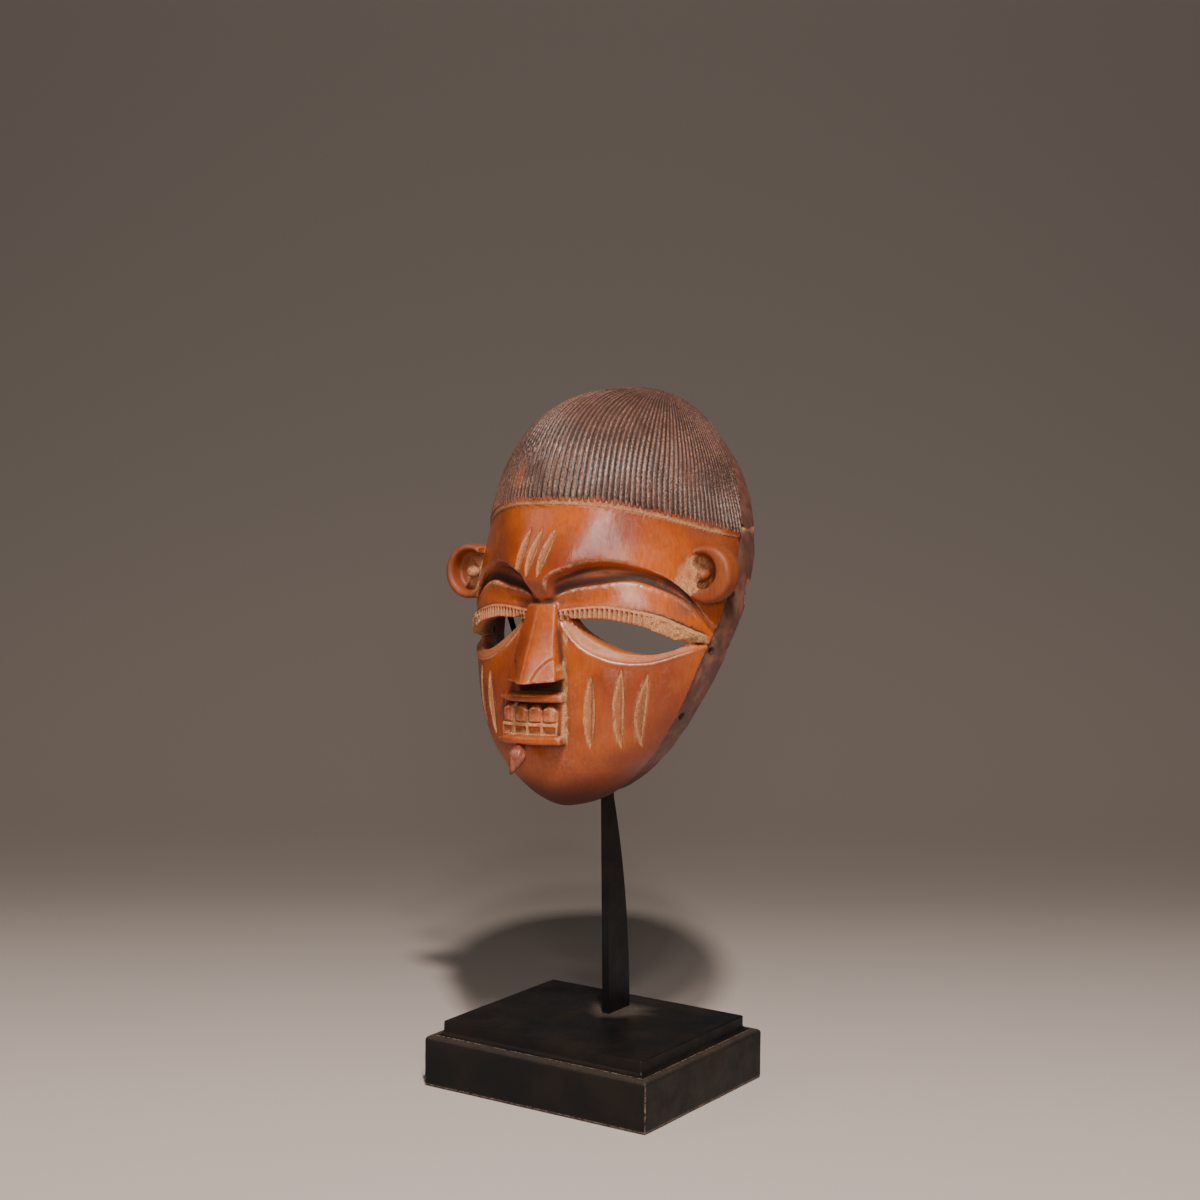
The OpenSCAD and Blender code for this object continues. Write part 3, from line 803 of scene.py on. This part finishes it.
def hair_material():
    m = Nodes("carved_hair_patina")
    strand, fringe, crest = m.attribute("strand"), m.attribute("fringe"), m.attribute("crest")
    colour = m.mix(m.ramp(m.noise(0.03, 4, 0.6), 0.35, 0.65), HAIR_BROWN, HAIR_RED)
    ticks = m.noise(0.0011, 3, 0.7, (1, 1, 0.8))
    patch = m.ramp(m.noise(0.02, 4, 0.65), 0.35, 0.6, 0.35, 1.0)
    # Pale ticks on the strands' crests: wear, with a painted highlight
    pale = m.math("MULTIPLY", m.math("MULTIPLY", m.ramp(ticks, 0.42, 0.62), patch),
                  m.ramp(crest, 0.45, 1.0))
    colour = m.mix(pale, colour, HAIR_WEAR_AND_SHEEN)
    # Near black in the valleys between the strands: painted shade
    colour = m.mix(m.ramp(crest, 0.5, 0.0, 0.0, 0.95), colour, HAIR_GAP_SHADE)
    worn = m.math("MULTIPLY", m.ramp(fringe, 0.2, 0.9), m.ramp(m.noise(0.006, 4, 0.7), 0.35, 0.6))
    colour = m.mix(worn, colour, FRINGE_WEAR)
    rough = m.ramp(m.noise(0.004, 4, 0.6), 0.3, 0.7, 0.34, 0.52)
    slant = m.math("SINE", m.math("ADD", m.math("MULTIPLY", strand, 6.2832),
                                  m.math("MULTIPLY", m.attribute("drop"), 2.6)))
    m.bump(slant, 0.35, 0.0005)
    m.bump(ticks, 0.2, 0.0005)
    return m.finish(colour, rough, specular_ior_level=0.36)


def paint_material(name, edge):
    """Old satin black paint, rubbed through along its edges."""
    m = Nodes(name)
    colour = m.mix(m.ramp(m.noise(0.05, 4, 0.6), 0.35, 0.7), (0.0034, 0.0038, 0.0046),
                   (0.012, 0.0080, 0.0060))
    dust = m.ramp(m.noise(0.0012, 4, 0.8), 0.64, 0.80, 0.0, 0.25)
    colour = m.mix(dust, colour, (0.10, 0.075, 0.06))
    if edge:
        ragged = m.ramp(m.noise(0.0022, 5, 0.8), 0.42, 0.60)
        colour = m.mix(m.math("MULTIPLY", m.ramp(m.attribute("rub"), 0.35, 0.95), ragged), colour,
                       (0.30, 0.20, 0.145))
        colour = m.mix(m.math("MULTIPLY", m.attribute("dust"), m.noise(0.003, 5, 0.7)), colour,
                       (0.16, 0.12, 0.095))
    rough = m.ramp(m.noise(0.02, 5, 0.65), 0.3, 0.7, 0.36, 0.55)
    m.bump(m.noise(0.002, 4, 0.7), 0.25, 0.0004)
    m.bump(m.noise(0.02, 3, 0.5), 0.25, 0.0012)
    return m.finish(colour, rough, specular_ior_level=0.22)


def steel_material(name, tone, rough_from, rough_to):
    m = Nodes(name)
    colour = m.mix(m.ramp(m.noise(0.004, 5, 0.7), 0.35, 0.7), tone, tuple(c * 1.9 for c in tone))
    streaks = m.noise(0.0006, 3, 0.6, (1, 1, 0.05))
    m.bump(streaks, 0.12, 0.0002)
    return m.finish(colour, m.ramp(streaks, 0.3, 0.7, rough_from, rough_to), metallic=0.85)


def cloth_material(name, tone):
    m = Nodes(name)
    fibre = m.noise(0.0007, 5, 0.8, (1, 1, 0.5))
    colour = m.mix(fibre, tuple(c * 0.6 for c in tone), tuple(min(1, c * 1.4) for c in tone))
    m.bump(fibre, 0.8, 0.0008)
    return m.finish(colour, 0.95)


def peg_material():
    m = Nodes("chin_peg_wood")
    grain = m.noise(0.0018, 4, 0.6, (1, 0.4, 0.3))
    colour = m.mix(m.ramp(grain, 0.35, 0.7), (0.13, 0.026, 0.012), (0.25, 0.060, 0.025))
    edge = m.math("MULTIPLY", m.attribute("worn"), m.ramp(m.noise(0.003, 4, 0.7), 0.3, 0.6))
    colour = m.mix(edge, colour, PINK_WEAR)
    # Deep brown from the layer of painted shade and dirt
    colour = m.mix(m.attribute("dirt"), colour, DEEP_BROWN)
    m.bump(grain, 0.3, 0.0005)
    return m.finish(colour, 0.42, coat_weight=0.2, coat_roughness=0.3)


# ------------ mask pieces

# Voxels along a cell of the coarse grid, and the most triangles in a piece
FINE = 4
HAIR_FINE = 5
MOST = 190000
PAD = 2


SKIN_DEEP = 8


def raw_wood(p, q, outer, cuts):
    """How pale and bare the wood is, from the places where the knife's work shows."""
    u, y, z = np.abs(q[:, 0]), q[:, 1], q[:, 2]
    skin = np.abs(outer) < SKIN_DEEP
    lashes = (between(z, EYE_TOP(u) - 1.5, LASH_TOP(u) + 0.3, 0.8, 0.8) * between(u, 12, 94, 3, 3)
              * skin * (y < 0) * (0.45 + 0.55 * smooth((u - 58) / 12)))
    beside_nose = (between(u, 16.5, 22, 1.5, 2.5) * between(z, 243, 334, 4, 10)
                   * smooth((y + 77) / 3) * (y < -52) * (outer > -1.5) * 1.3 * lumps(q, 3.0, 2))
    line = hairline(u)
    under_hair = 0.6 * between(z, line - 3.2, line + 1, 0.8, 1) * smooth((92 - u) / 3)
    left = q[:, 0] > 0
    from_ear = np.hypot((u - np.where(left, 85.5, 91)) * np.where(left, 1.7, 1), z - 354)
    ears = smooth((15 - from_ear) / 4) * between(y, -33, -3, 6, 3) * 1.28 * lumps(q, 2.5, 4)
    x = q[:, 0] - TEETH_X
    place = np.abs((x / TOOTH_PITCH + 2) % 1 - 0.5)
    upright = smooth((place - 0.38) / 0.06) * smooth((TOOTH_SPLIT + 6 - z) / 5)
    level = between(z, TOOTH_SPLIT - 2.6, TOOTH_SPLIT + 0.6, 0.8, 0.8)
    gaps = np.maximum.reduce([upright, level, hill((z - 252) / 1.5)])
    gaps = gaps * smooth(22 - np.abs(x)) * between(z, 251, TOOTH_TOP, 1, 1) * (y < TOOTH_FRONT + 8)
    chips = smooth((1.6 - rim_chips(p)) / 1.5)
    bevel = (between(z, RIDGE(u) + 0.6, EYE_LOW(u) + 1, 1.5, 1) * between(u, 15, 90, 5, 6)
             * skin * (y < 10))
    return np.maximum.reduce([cuts, lashes, beside_nose, under_hair, ears, gaps * 0.9,
                              chips * 0.8, bevel * 0.4])


def dirt_on(p, q, rim, outer):
    """How dark the wood is painted: painted shade in the groove under the brow, under the nose,
    above the teeth, at the rim's step, in the holes and in the ears, painted shade with some patina
    on the chin, and darker towards the temples.
    """
    u, y, z = np.abs(q[:, 0]), q[:, 1], q[:, 2]
    skin = np.abs(outer) < SKIN_DEEP
    front = y < -50
    lid = LID_TOP(u)
    # Painted shade in the groove under the brow, strongest just above the lid
    brow_gap = (between(z, lid + 0.4, lid + 11, 1.2, 9) * skin
                * smooth((GROOVE_DEEP(u) - 1) / 5) * smooth((u - 5) / 6))
    # Painted shade under the nose, and a painted shadow in the gap above the teeth
    under_nose = between(z, 279, 288.5, 1.5, 2) * smooth((20 - u) / 2) * (y > -79) * front
    gum = smooth(21 - np.abs(q[:, 0] - MOUTH_X)) * hill((z - 272.6) / 2.2) * (y > -75) * front
    # A painted shadow of the face's edge along the rim band, and painted shade in the holes
    step = 0.7 * hill((y - rim + BAND_W - 0.5) / 3) * (outer > -6)
    holes = 0.9 * smooth((1.5 - side_holes(p)) / 1.5)
    # Painted shade on the chin, with some of its darker patina
    chin = 0.85 * smooth((242 - z) / 38) * skin
    # Darker towards the temples
    temples = (0.45 * smooth((u - 62) / 26) * smooth((z - 318) / 14) * skin
               * (0.5 + lumps(q, 12, 6)))
    # Painted shade inside the ears
    from_ear = np.hypot(u - EAR[0], z - EAR[1])
    ears = 0.5 * smooth((u - 86) / 3) * smooth((21.5 - from_ear) / 2) * (y < -4)
    return np.maximum.reduce([brow_gap, under_nose, gum, step, holes, chin, temples, ears])


def block_layers(p):
    """Raw wood, painted shade with dirt, rim band, inside, and edge wear with a painted highlight,
    for each vertex.
    """
    seat = around(p)
    rim = seat[2]
    q = leaned(p)
    outer = form_distance(p, seat, 0, 0)
    inner = form_distance(p, seat, WALL_RIM, WALL_FACE)
    inside = smooth((2.2 - inner) / 1.5) * smooth((rim + 2 - p[:, 1]) / 2)
    band = smooth((p[:, 1] - rim + BAND_W - 0.3) / 1.2) * (1 - inside)
    sharp = turn_of(block_field, p, 1.6)
    broad = turn_of(block_field, p, 5.0)
    cuts = cut_depth(q)[1]
    # Painted shade in the hollows, where the surface turns inwards, on top of the painted shade and
    # dirt of the named places
    dirt = np.maximum.reduce([-broad * 0.5, -sharp * 0.4, dirt_on(p, q, rim, outer)])
    # worn: pale on sharp edges, rubbed wear with a painted highlight along the ridges
    return dict(raw=raw_wood(p, q, outer, cuts) * (1 - inside), dirt=dirt * (1 - 0.85 * cuts),
                band=band, inside=inside, worn=np.maximum(0, sharp) * (1 - inside))


def make_mask(wood, hair):
    low, high = np.array(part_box("mask")) / MM
    block = carve("mask_block", block_field, low - PAD, high + PAD, FINE, MOST)
    p = coordinates(block.data) / MM
    paint(block, **block_layers(p))
    block.data.materials.append(wood)
    hair_low = (low[0], low[1], HAIRLINE_Z - 40)
    cap = carve("mask_hair", hair_field, hair_low, high + PAD, HAIR_FINE, MOST)
    p = coordinates(cap.data) / MM
    place, _ = strand_place(p)
    strand = place - np.floor(place)
    q = leaned(p)
    fringe = smooth((hairline(q[:, 0]) + 9 * lumps(p, 9, 3) - q[:, 2]) / 4)
    crest = np.clip(1 - np.abs(strand * 2 - 1) ** 1.5, 0, 1)
    paint(cap, strand=strand, fringe=fringe, crest=crest, drop=(p[:, 2] - 370) / 30)
    cap.data.materials.append(hair)
    for piece in (block, cap):
        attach(piece, "mask")
        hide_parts("mask")


# ------------ stand pieces


def tube(name, points, radius, body, material, node):
    """A bent rod through points in millimetres."""
    data = bpy.data.curves.new(name, "CURVE")
    data.dimensions = "3D"
    data.bevel_depth = radius * MM
    data.bevel_resolution = 5
    data.use_fill_caps = True
    spline = data.splines.new("POLY")
    spline.points.add(len(points) - 1)
    for spot, at in zip(spline.points, points):
        spot.co = tuple(c * MM for c in at) + (1,)
    obj = add_object(name, data)
    graph = bpy.context.evaluated_depsgraph_get()
    mesh = bpy.data.meshes.new_from_object(obj.evaluated_get(graph))
    bpy.data.objects.remove(obj)
    obj = add_object(name, mesh)
    mesh.shade_smooth()
    mesh.materials.append(material)
    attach(obj, body)
    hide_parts(node)


# The claws' rod, as in the CAD
ROD_R = 2.0
ROD_PATH = [(2.75, 12.3, 216), (12, 12.3, 216), (38, 13, 238), (67, 11, 280), (81, 9.5, 318),
            (85.5, 11.5, 348.5), (98.8, 11.5, 348.5)]
BEND_R = 6.0


def rounded_path(points, radius):
    """The path with its corners rounded."""
    points = [Vector(p) for p in points]
    path = [points[0]]
    for before, corner, after in zip(points, points[1:], points[2:]):
        a, b = (before - corner), (after - corner)
        reach = min(radius, a.length * 0.4, b.length * 0.4)
        start, end = corner + a.normalized() * reach, corner + b.normalized() * reach
        for i in range(7):
            t = i / 6
            path.append(start * (1 - t) ** 2 + corner * 2 * t * (1 - t) + end * t * t)
    return [tuple(p) for p in path + [points[-1]]]


def make_claws(steel):
    for side, name in ((1, "claw_left"), (-1, "claw_right")):
        path = [(x * side, y, z) for x, y, z in rounded_path(ROD_PATH, BEND_R)]
        tube(name + "_rod", path, ROD_R, "stand", steel, name)


BLOCK_CORNER = 1.2
SIDE_STEPS = 60


def block_loop(inset, z, half):
    """Points round a rectangle with rounded corners, close together, in millimetres."""
    hx, hy = half - inset - BLOCK_CORNER

    def spot(quarter, a):
        sx, sy = ((1, 1), (-1, 1), (-1, -1), (1, -1))[quarter % 4]
        x, y = BLOCK_CORNER * math.cos(a), BLOCK_CORNER * math.sin(a)
        return np.array([sx * hx + x, sy * hy + y, z])

    points = []
    for quarter in range(4):
        points += [spot(quarter, math.pi / 2 * (quarter + i / 6)) for i in range(7)]
        a = math.pi / 2 * (quarter + 1)
        start, end = spot(quarter, a), spot(quarter + 1, a)
        points += [start + (end - start) * i / SIDE_STEPS for i in range(1, SIDE_STEPS)]
    return points


def ring_faces(rings, count):
    """Quads between rings of count points each."""
    a = np.arange(rings - 1)[:, None] * count + np.arange(count)
    b = np.arange(rings - 1)[:, None] * count + (np.arange(count) + 1) % count
    return np.stack([a, b, b + count, a + count], -1).reshape(-1, 4)


FILL = [0.0, 0.15, 0.35, 0.55, 0.75, 0.9, 0.97]


def loft_mesh(loops):
    """Skin over loops from the bottom to the top, both ends filled towards their middles."""
    bottom, top = np.array(loops[0]), np.array(loops[-1])
    rings = ([bottom * [s, s, 1] for s in FILL] + [np.array(loop) for loop in loops]
             + [top * [s, s, 1] for s in FILL[::-1]])
    return np.concatenate(rings), ring_faces(len(rings), len(loops[0]))


def rim_distance(p, low, high):
    """Distance of each point from the nearest edge of a box."""
    gaps = np.sort(np.minimum(np.abs(p - low), np.abs(high - p)), 1)
    return np.hypot(gaps[:, 0], gaps[:, 1])


POST_FOOT = (2, 26)


def make_plinth(painted):
    for node, profile in (("plinth_slab", slab_profile), ("plinth_tier", tier_profile)):
        low, high = np.array(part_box(node)) / MM
        half = high[:2]
        loops = [block_loop(inset, z, half) for inset, z in profile(low[2], high[2])]
        points, faces = loft_mesh(loops)
        wobble = (lumps(points, 18, 4) - 0.5) * 0.35 + (lumps(points, 4, 6) - 0.5) * 0.15
        side = np.maximum(np.abs(points[:, 0]) / half[0], np.abs(points[:, 1]) / half[1]) > 0.9
        sunk = (np.clip(wobble + 0.25, 0, 1) * side)[:, None]
        points = points - points * np.array([1, 1, 0]) * sunk / 100
        mesh = mesh_from(node + "_paint", points * MM, faces)
        obj = add_object(node + "_painted", mesh)
        clean = obj.modifiers.new("weld", "WELD")
        clean.merge_threshold = 0.00001
        applied(obj)
        p = coordinates(obj.data) / MM
        rub = smooth((2.4 - rim_distance(p, low, high)) / 2.4)
        foot = smooth((low[2] + 1.6 - p[:, 2]) / 1.2)
        rub = np.maximum(rub, foot * (1 if node == "plinth_slab" else 0))
        past = np.maximum(np.abs(p[:, 0]) - half[0] + 4, np.abs(p[:, 1]) - half[1] + 4)
        ledge = smooth((p[:, 2] - high[2] + 4) / 3) * smooth((5.5 - np.abs(past)) / 5)
        from_post = np.hypot(p[:, 0] - POST_FOOT[0], p[:, 1] - POST_FOOT[1])
        near_post = smooth((24 - from_post) / 12) * 0.8
        dust = ledge * 0.5 if node == "plinth_slab" else near_post * (p[:, 2] > high[2] - 1)
        paint(obj, rub=rub, dust=dust)
        obj.data.shade_smooth()
        obj.data.materials.append(painted)
        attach(obj, "stand")
        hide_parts(node)


def slab_profile(low, high):
    """(inset, height) up the slab: a straight side, a rounded arris and a flat top."""
    arris = 3.0
    turn = [(arris * (1 - math.cos(a)), high - arris * (1 - math.sin(a)))
            for a in np.linspace(0, math.pi / 2, 8)]
    sides = [(0.0, z) for z in np.linspace(low + 1.5, high - arris - 0.5, 12)]
    return ([(0.5, low), (0.1, low + 0.6)] + sides + turn
            + [(4.5, high), (7, high), (9, high)])


def tier_profile(low, high):
    """(inset, height) up the tier: a cove, a straight side and a small arris."""
    cove, arris = 4.0, 0.9
    turn = [(cove - cove * (1 - math.sin(a)), low + cove * (1 - math.cos(a)))
            for a in np.linspace(0, math.pi / 2, 8)]
    edge = [(cove + arris * (1 - math.cos(a)), high - arris * (1 - math.sin(a)))
            for a in np.linspace(0, math.pi / 2, 6)]
    return turn + [(cove, z) for z in np.linspace(low + cove + 0.5, high - arris - 0.3, 4)] + edge


PEG_ROOT = (-11.0, -72.0, 247.0)
PEG_SLOPE = 58.0
PEG_L = 24.4
# (distance from the root, radius)
PEG_SHAPE = [(-6, 2.1), (-0.2, 2.1), (0, 2.9), (3, 2.8), (5, 3.6), (6.5, 4.8), (8.5, 5.8),
             (10.5, 6.1), (12.5, 5.8), (15.5, 4.8), (19, 3.2), (22.5, 1.5), (PEG_L, 0.7)]
PEG_FACETS = 7


def make_peg(material):
    """A whittled peg: rings along its own axis, flattened by knife facets."""
    count = 40
    rings = []
    shape = through(PEG_SHAPE)
    for s in np.concatenate([[-6], np.linspace(-5.8, PEG_L, 60)]):
        r = float(shape(s))
        ring = []
        for i in range(count):
            a = 2 * math.pi * i / count
            facets = [math.cos(a - 0.35 - f * 2 * math.pi / PEG_FACETS) for f in range(PEG_FACETS)]
            flat = min(1, math.cos(math.pi / PEG_FACETS) / max(facets)) if s > 5 else 1
            ring.append((r * flat * math.cos(a), r * flat * math.sin(a), s))
        rings.append(ring)
    points = np.array(rings).reshape(-1, 3)
    points = np.concatenate([points, [[0, 0, -6], [0, 0, PEG_L + 0.1]]])
    faces = [tuple(f) for f in ring_faces(len(rings), count)]
    last = (len(rings) - 1) * count
    faces += [((i + 1) % count, i, len(points) - 2) for i in range(count)]
    faces += [(last + i, last + (i + 1) % count, len(points) - 1) for i in range(count)]
    turn = np.array(Matrix.Rotation(math.radians(90 + PEG_SLOPE), 3, "X"))
    placed = points @ turn.T + np.array(PEG_ROOT)
    mesh = bpy.data.meshes.new("chin_peg_whittled")
    mesh.from_pydata((placed * MM).tolist(), [], faces)
    obj = add_object("chin_peg_whittled", mesh)
    along = points[:, 2]
    ragged = np.clip(lumps(points, 2.5, 3) * 1.5 - 0.4, 0, 1)
    worn = 0.4 * np.clip((along - 5) / 6, 0, 1) * ragged
    # Painted shade at the root, where the lip shades it, and darker towards the tip
    dirt = 0.8 * np.maximum(np.clip((7 - along) / 5, 0, 1), smooth((along - PEG_L + 4) / 3))
    paint(obj, worn=worn, dirt=dirt)
    mesh.materials.append(material)
    mesh.shade_smooth()
    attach(obj, "mask")
    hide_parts("chin_peg")


def ease_edges(node, width):
    """Small bevels on the edges of a CAD node."""
    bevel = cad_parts[node].modifiers.new("eased", "BEVEL")
    bevel.width = width * MM
    bevel.segments = 2
    bevel.limit_method = "ANGLE"


def dress(node, material):
    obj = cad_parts[node]
    obj.data.materials.clear()
    obj.data.materials.append(material)


# ------------ floor and light

PAPER = (0.50, 0.42, 0.38)
PAPER_PALE = (0.53, 0.46, 0.42)
# Painted shade: the paper darker behind the object and up the wall
PAPER_SHADE_BEHIND = (0.150, 0.125, 0.108)
PAPER_SHADE_FAR = (0.105, 0.090, 0.080)
SWEEP_START = 0.55
SWEEP_R = 0.9
SWEEP_W = 6.0
SWEEP_FRONT = 2.6
SWEEP_TOP = 3.0


def make_backdrop():
    """A floor that turns up into a wall behind the object, square to the camera, with painted shade
    darkening it behind the object and up the wall.
    """
    back = -way_to(CAMERA_AZIMUTH, 0)
    side = Vector((back.y, -back.x, 0))
    profile = [(-SWEEP_FRONT, 0), (0, 0), (SWEEP_START * 0.7, 0)]
    profile += [(SWEEP_START + SWEEP_R * math.sin(a), SWEEP_R * (1 - math.cos(a)))
                for a in np.linspace(0, math.pi / 2, 24)]
    profile += [(SWEEP_START + SWEEP_R, SWEEP_TOP)]
    points = [back * along + side * s * SWEEP_W / 2 + Vector((0, 0, up))
              for along, up in profile for s in (-1, 1)]
    faces = [(2 * i, 2 * i + 1, 2 * i + 3, 2 * i + 2) for i in range(len(profile) - 1)]
    mesh = bpy.data.meshes.new("backdrop")
    mesh.from_pydata(points, [], faces)
    mesh.shade_smooth()
    m = Nodes("backdrop_paper")
    depth = m.tree.nodes.new("ShaderNodeVectorMath")
    depth.operation = "DOT_PRODUCT"
    m.link(m.place, depth.inputs[0])
    depth.inputs[1].default_value = back + Vector((0, 0, 0.5))
    colour = m.mix(m.noise(0.5, 2, 0.5), PAPER, PAPER_PALE)
    # Painted shade, darker away from the camera and upward
    colour = m.mix(m.ramp(depth.outputs["Value"], -0.1, 0.8), colour, PAPER_SHADE_BEHIND)
    colour = m.mix(m.ramp(depth.outputs["Value"], 0.8, 2.0), colour, PAPER_SHADE_FAR)
    m.bump(m.noise(0.004, 3, 0.6), 0.05, 0.0005)
    mesh.materials.append(m.finish(colour, 0.9))
    add_object("backdrop", mesh)


LIGHT_TARGET = (0, 0, 0.30)
# Name, azimuth, elevation, distance, size in metres, power in watts, tone
LIGHTS = [("key", 38, 53, 2.0, 0.13, 44, (1.0, 0.93, 0.86)),
          ("second", 38, 46, 2.2, 0.13, 17, (1.0, 0.93, 0.88)),
          ("third", 40, 39, 2.4, 0.13, 9, (1.0, 0.93, 0.88)),
          ("front", 36, 17, 2.2, 0.50, 17, (1.0, 0.95, 0.90)),
          ("left_fill", -45, 30, 2.2, 1.0, 5, (1.0, 0.90, 0.80))]
ROOM_TONE = (0.80, 0.84, 0.90, 1)
ROOM_LIGHT = 0.04


def add_light(name, azimuth, elevation, distance, size, power, tone):
    """A round area light aimed at the head."""
    way = way_to(azimuth, elevation)
    data = bpy.data.lights.new(name, "AREA")
    data.shape = "DISK"
    data.size = size
    data.energy = power
    data.color = tone
    light = add_object(name, data)
    light.location = Vector(LIGHT_TARGET) + way * distance
    light.rotation_euler = way.to_track_quat("Z", "Y").to_euler()


def make_lights():
    for light in LIGHTS:
        add_light(*light)
    world = bpy.data.worlds.new("studio")
    world.use_nodes = True
    room = world.node_tree.nodes["Background"]
    room.inputs["Color"].default_value = ROOM_TONE
    room.inputs["Strength"].default_value = ROOM_LIGHT
    bpy.context.scene.world = world


# ------------ the scene

make_mask(wood_material(), hair_material())
make_peg(peg_material())
make_plinth(paint_material("worn_black_paint", True))
black = paint_material("black_steel_paint", False)
make_claws(black)
ease_edges("post", 0.5)
dress("post", black)
dress("post_washer", steel_material("washer_zinc", (0.35, 0.35, 0.34), 0.3, 0.45))
dress("post_nut", steel_material("nut_zinc", (0.33, 0.33, 0.32), 0.3, 0.45))
dress("plinth_screws", steel_material("screw_zinc", (0.34, 0.34, 0.33), 0.28, 0.42))
dress("felt_sheet", cloth_material("felt", (0.16, 0.145, 0.125)))
dress("post_pad", cloth_material("pad_felt", (0.022, 0.021, 0.020)))
rubber = cloth_material("sleeve_rubber", (0.012, 0.012, 0.012))
dress("claw_sleeve_left", rubber)
dress("claw_sleeve_right", rubber)
make_backdrop()
make_lights()
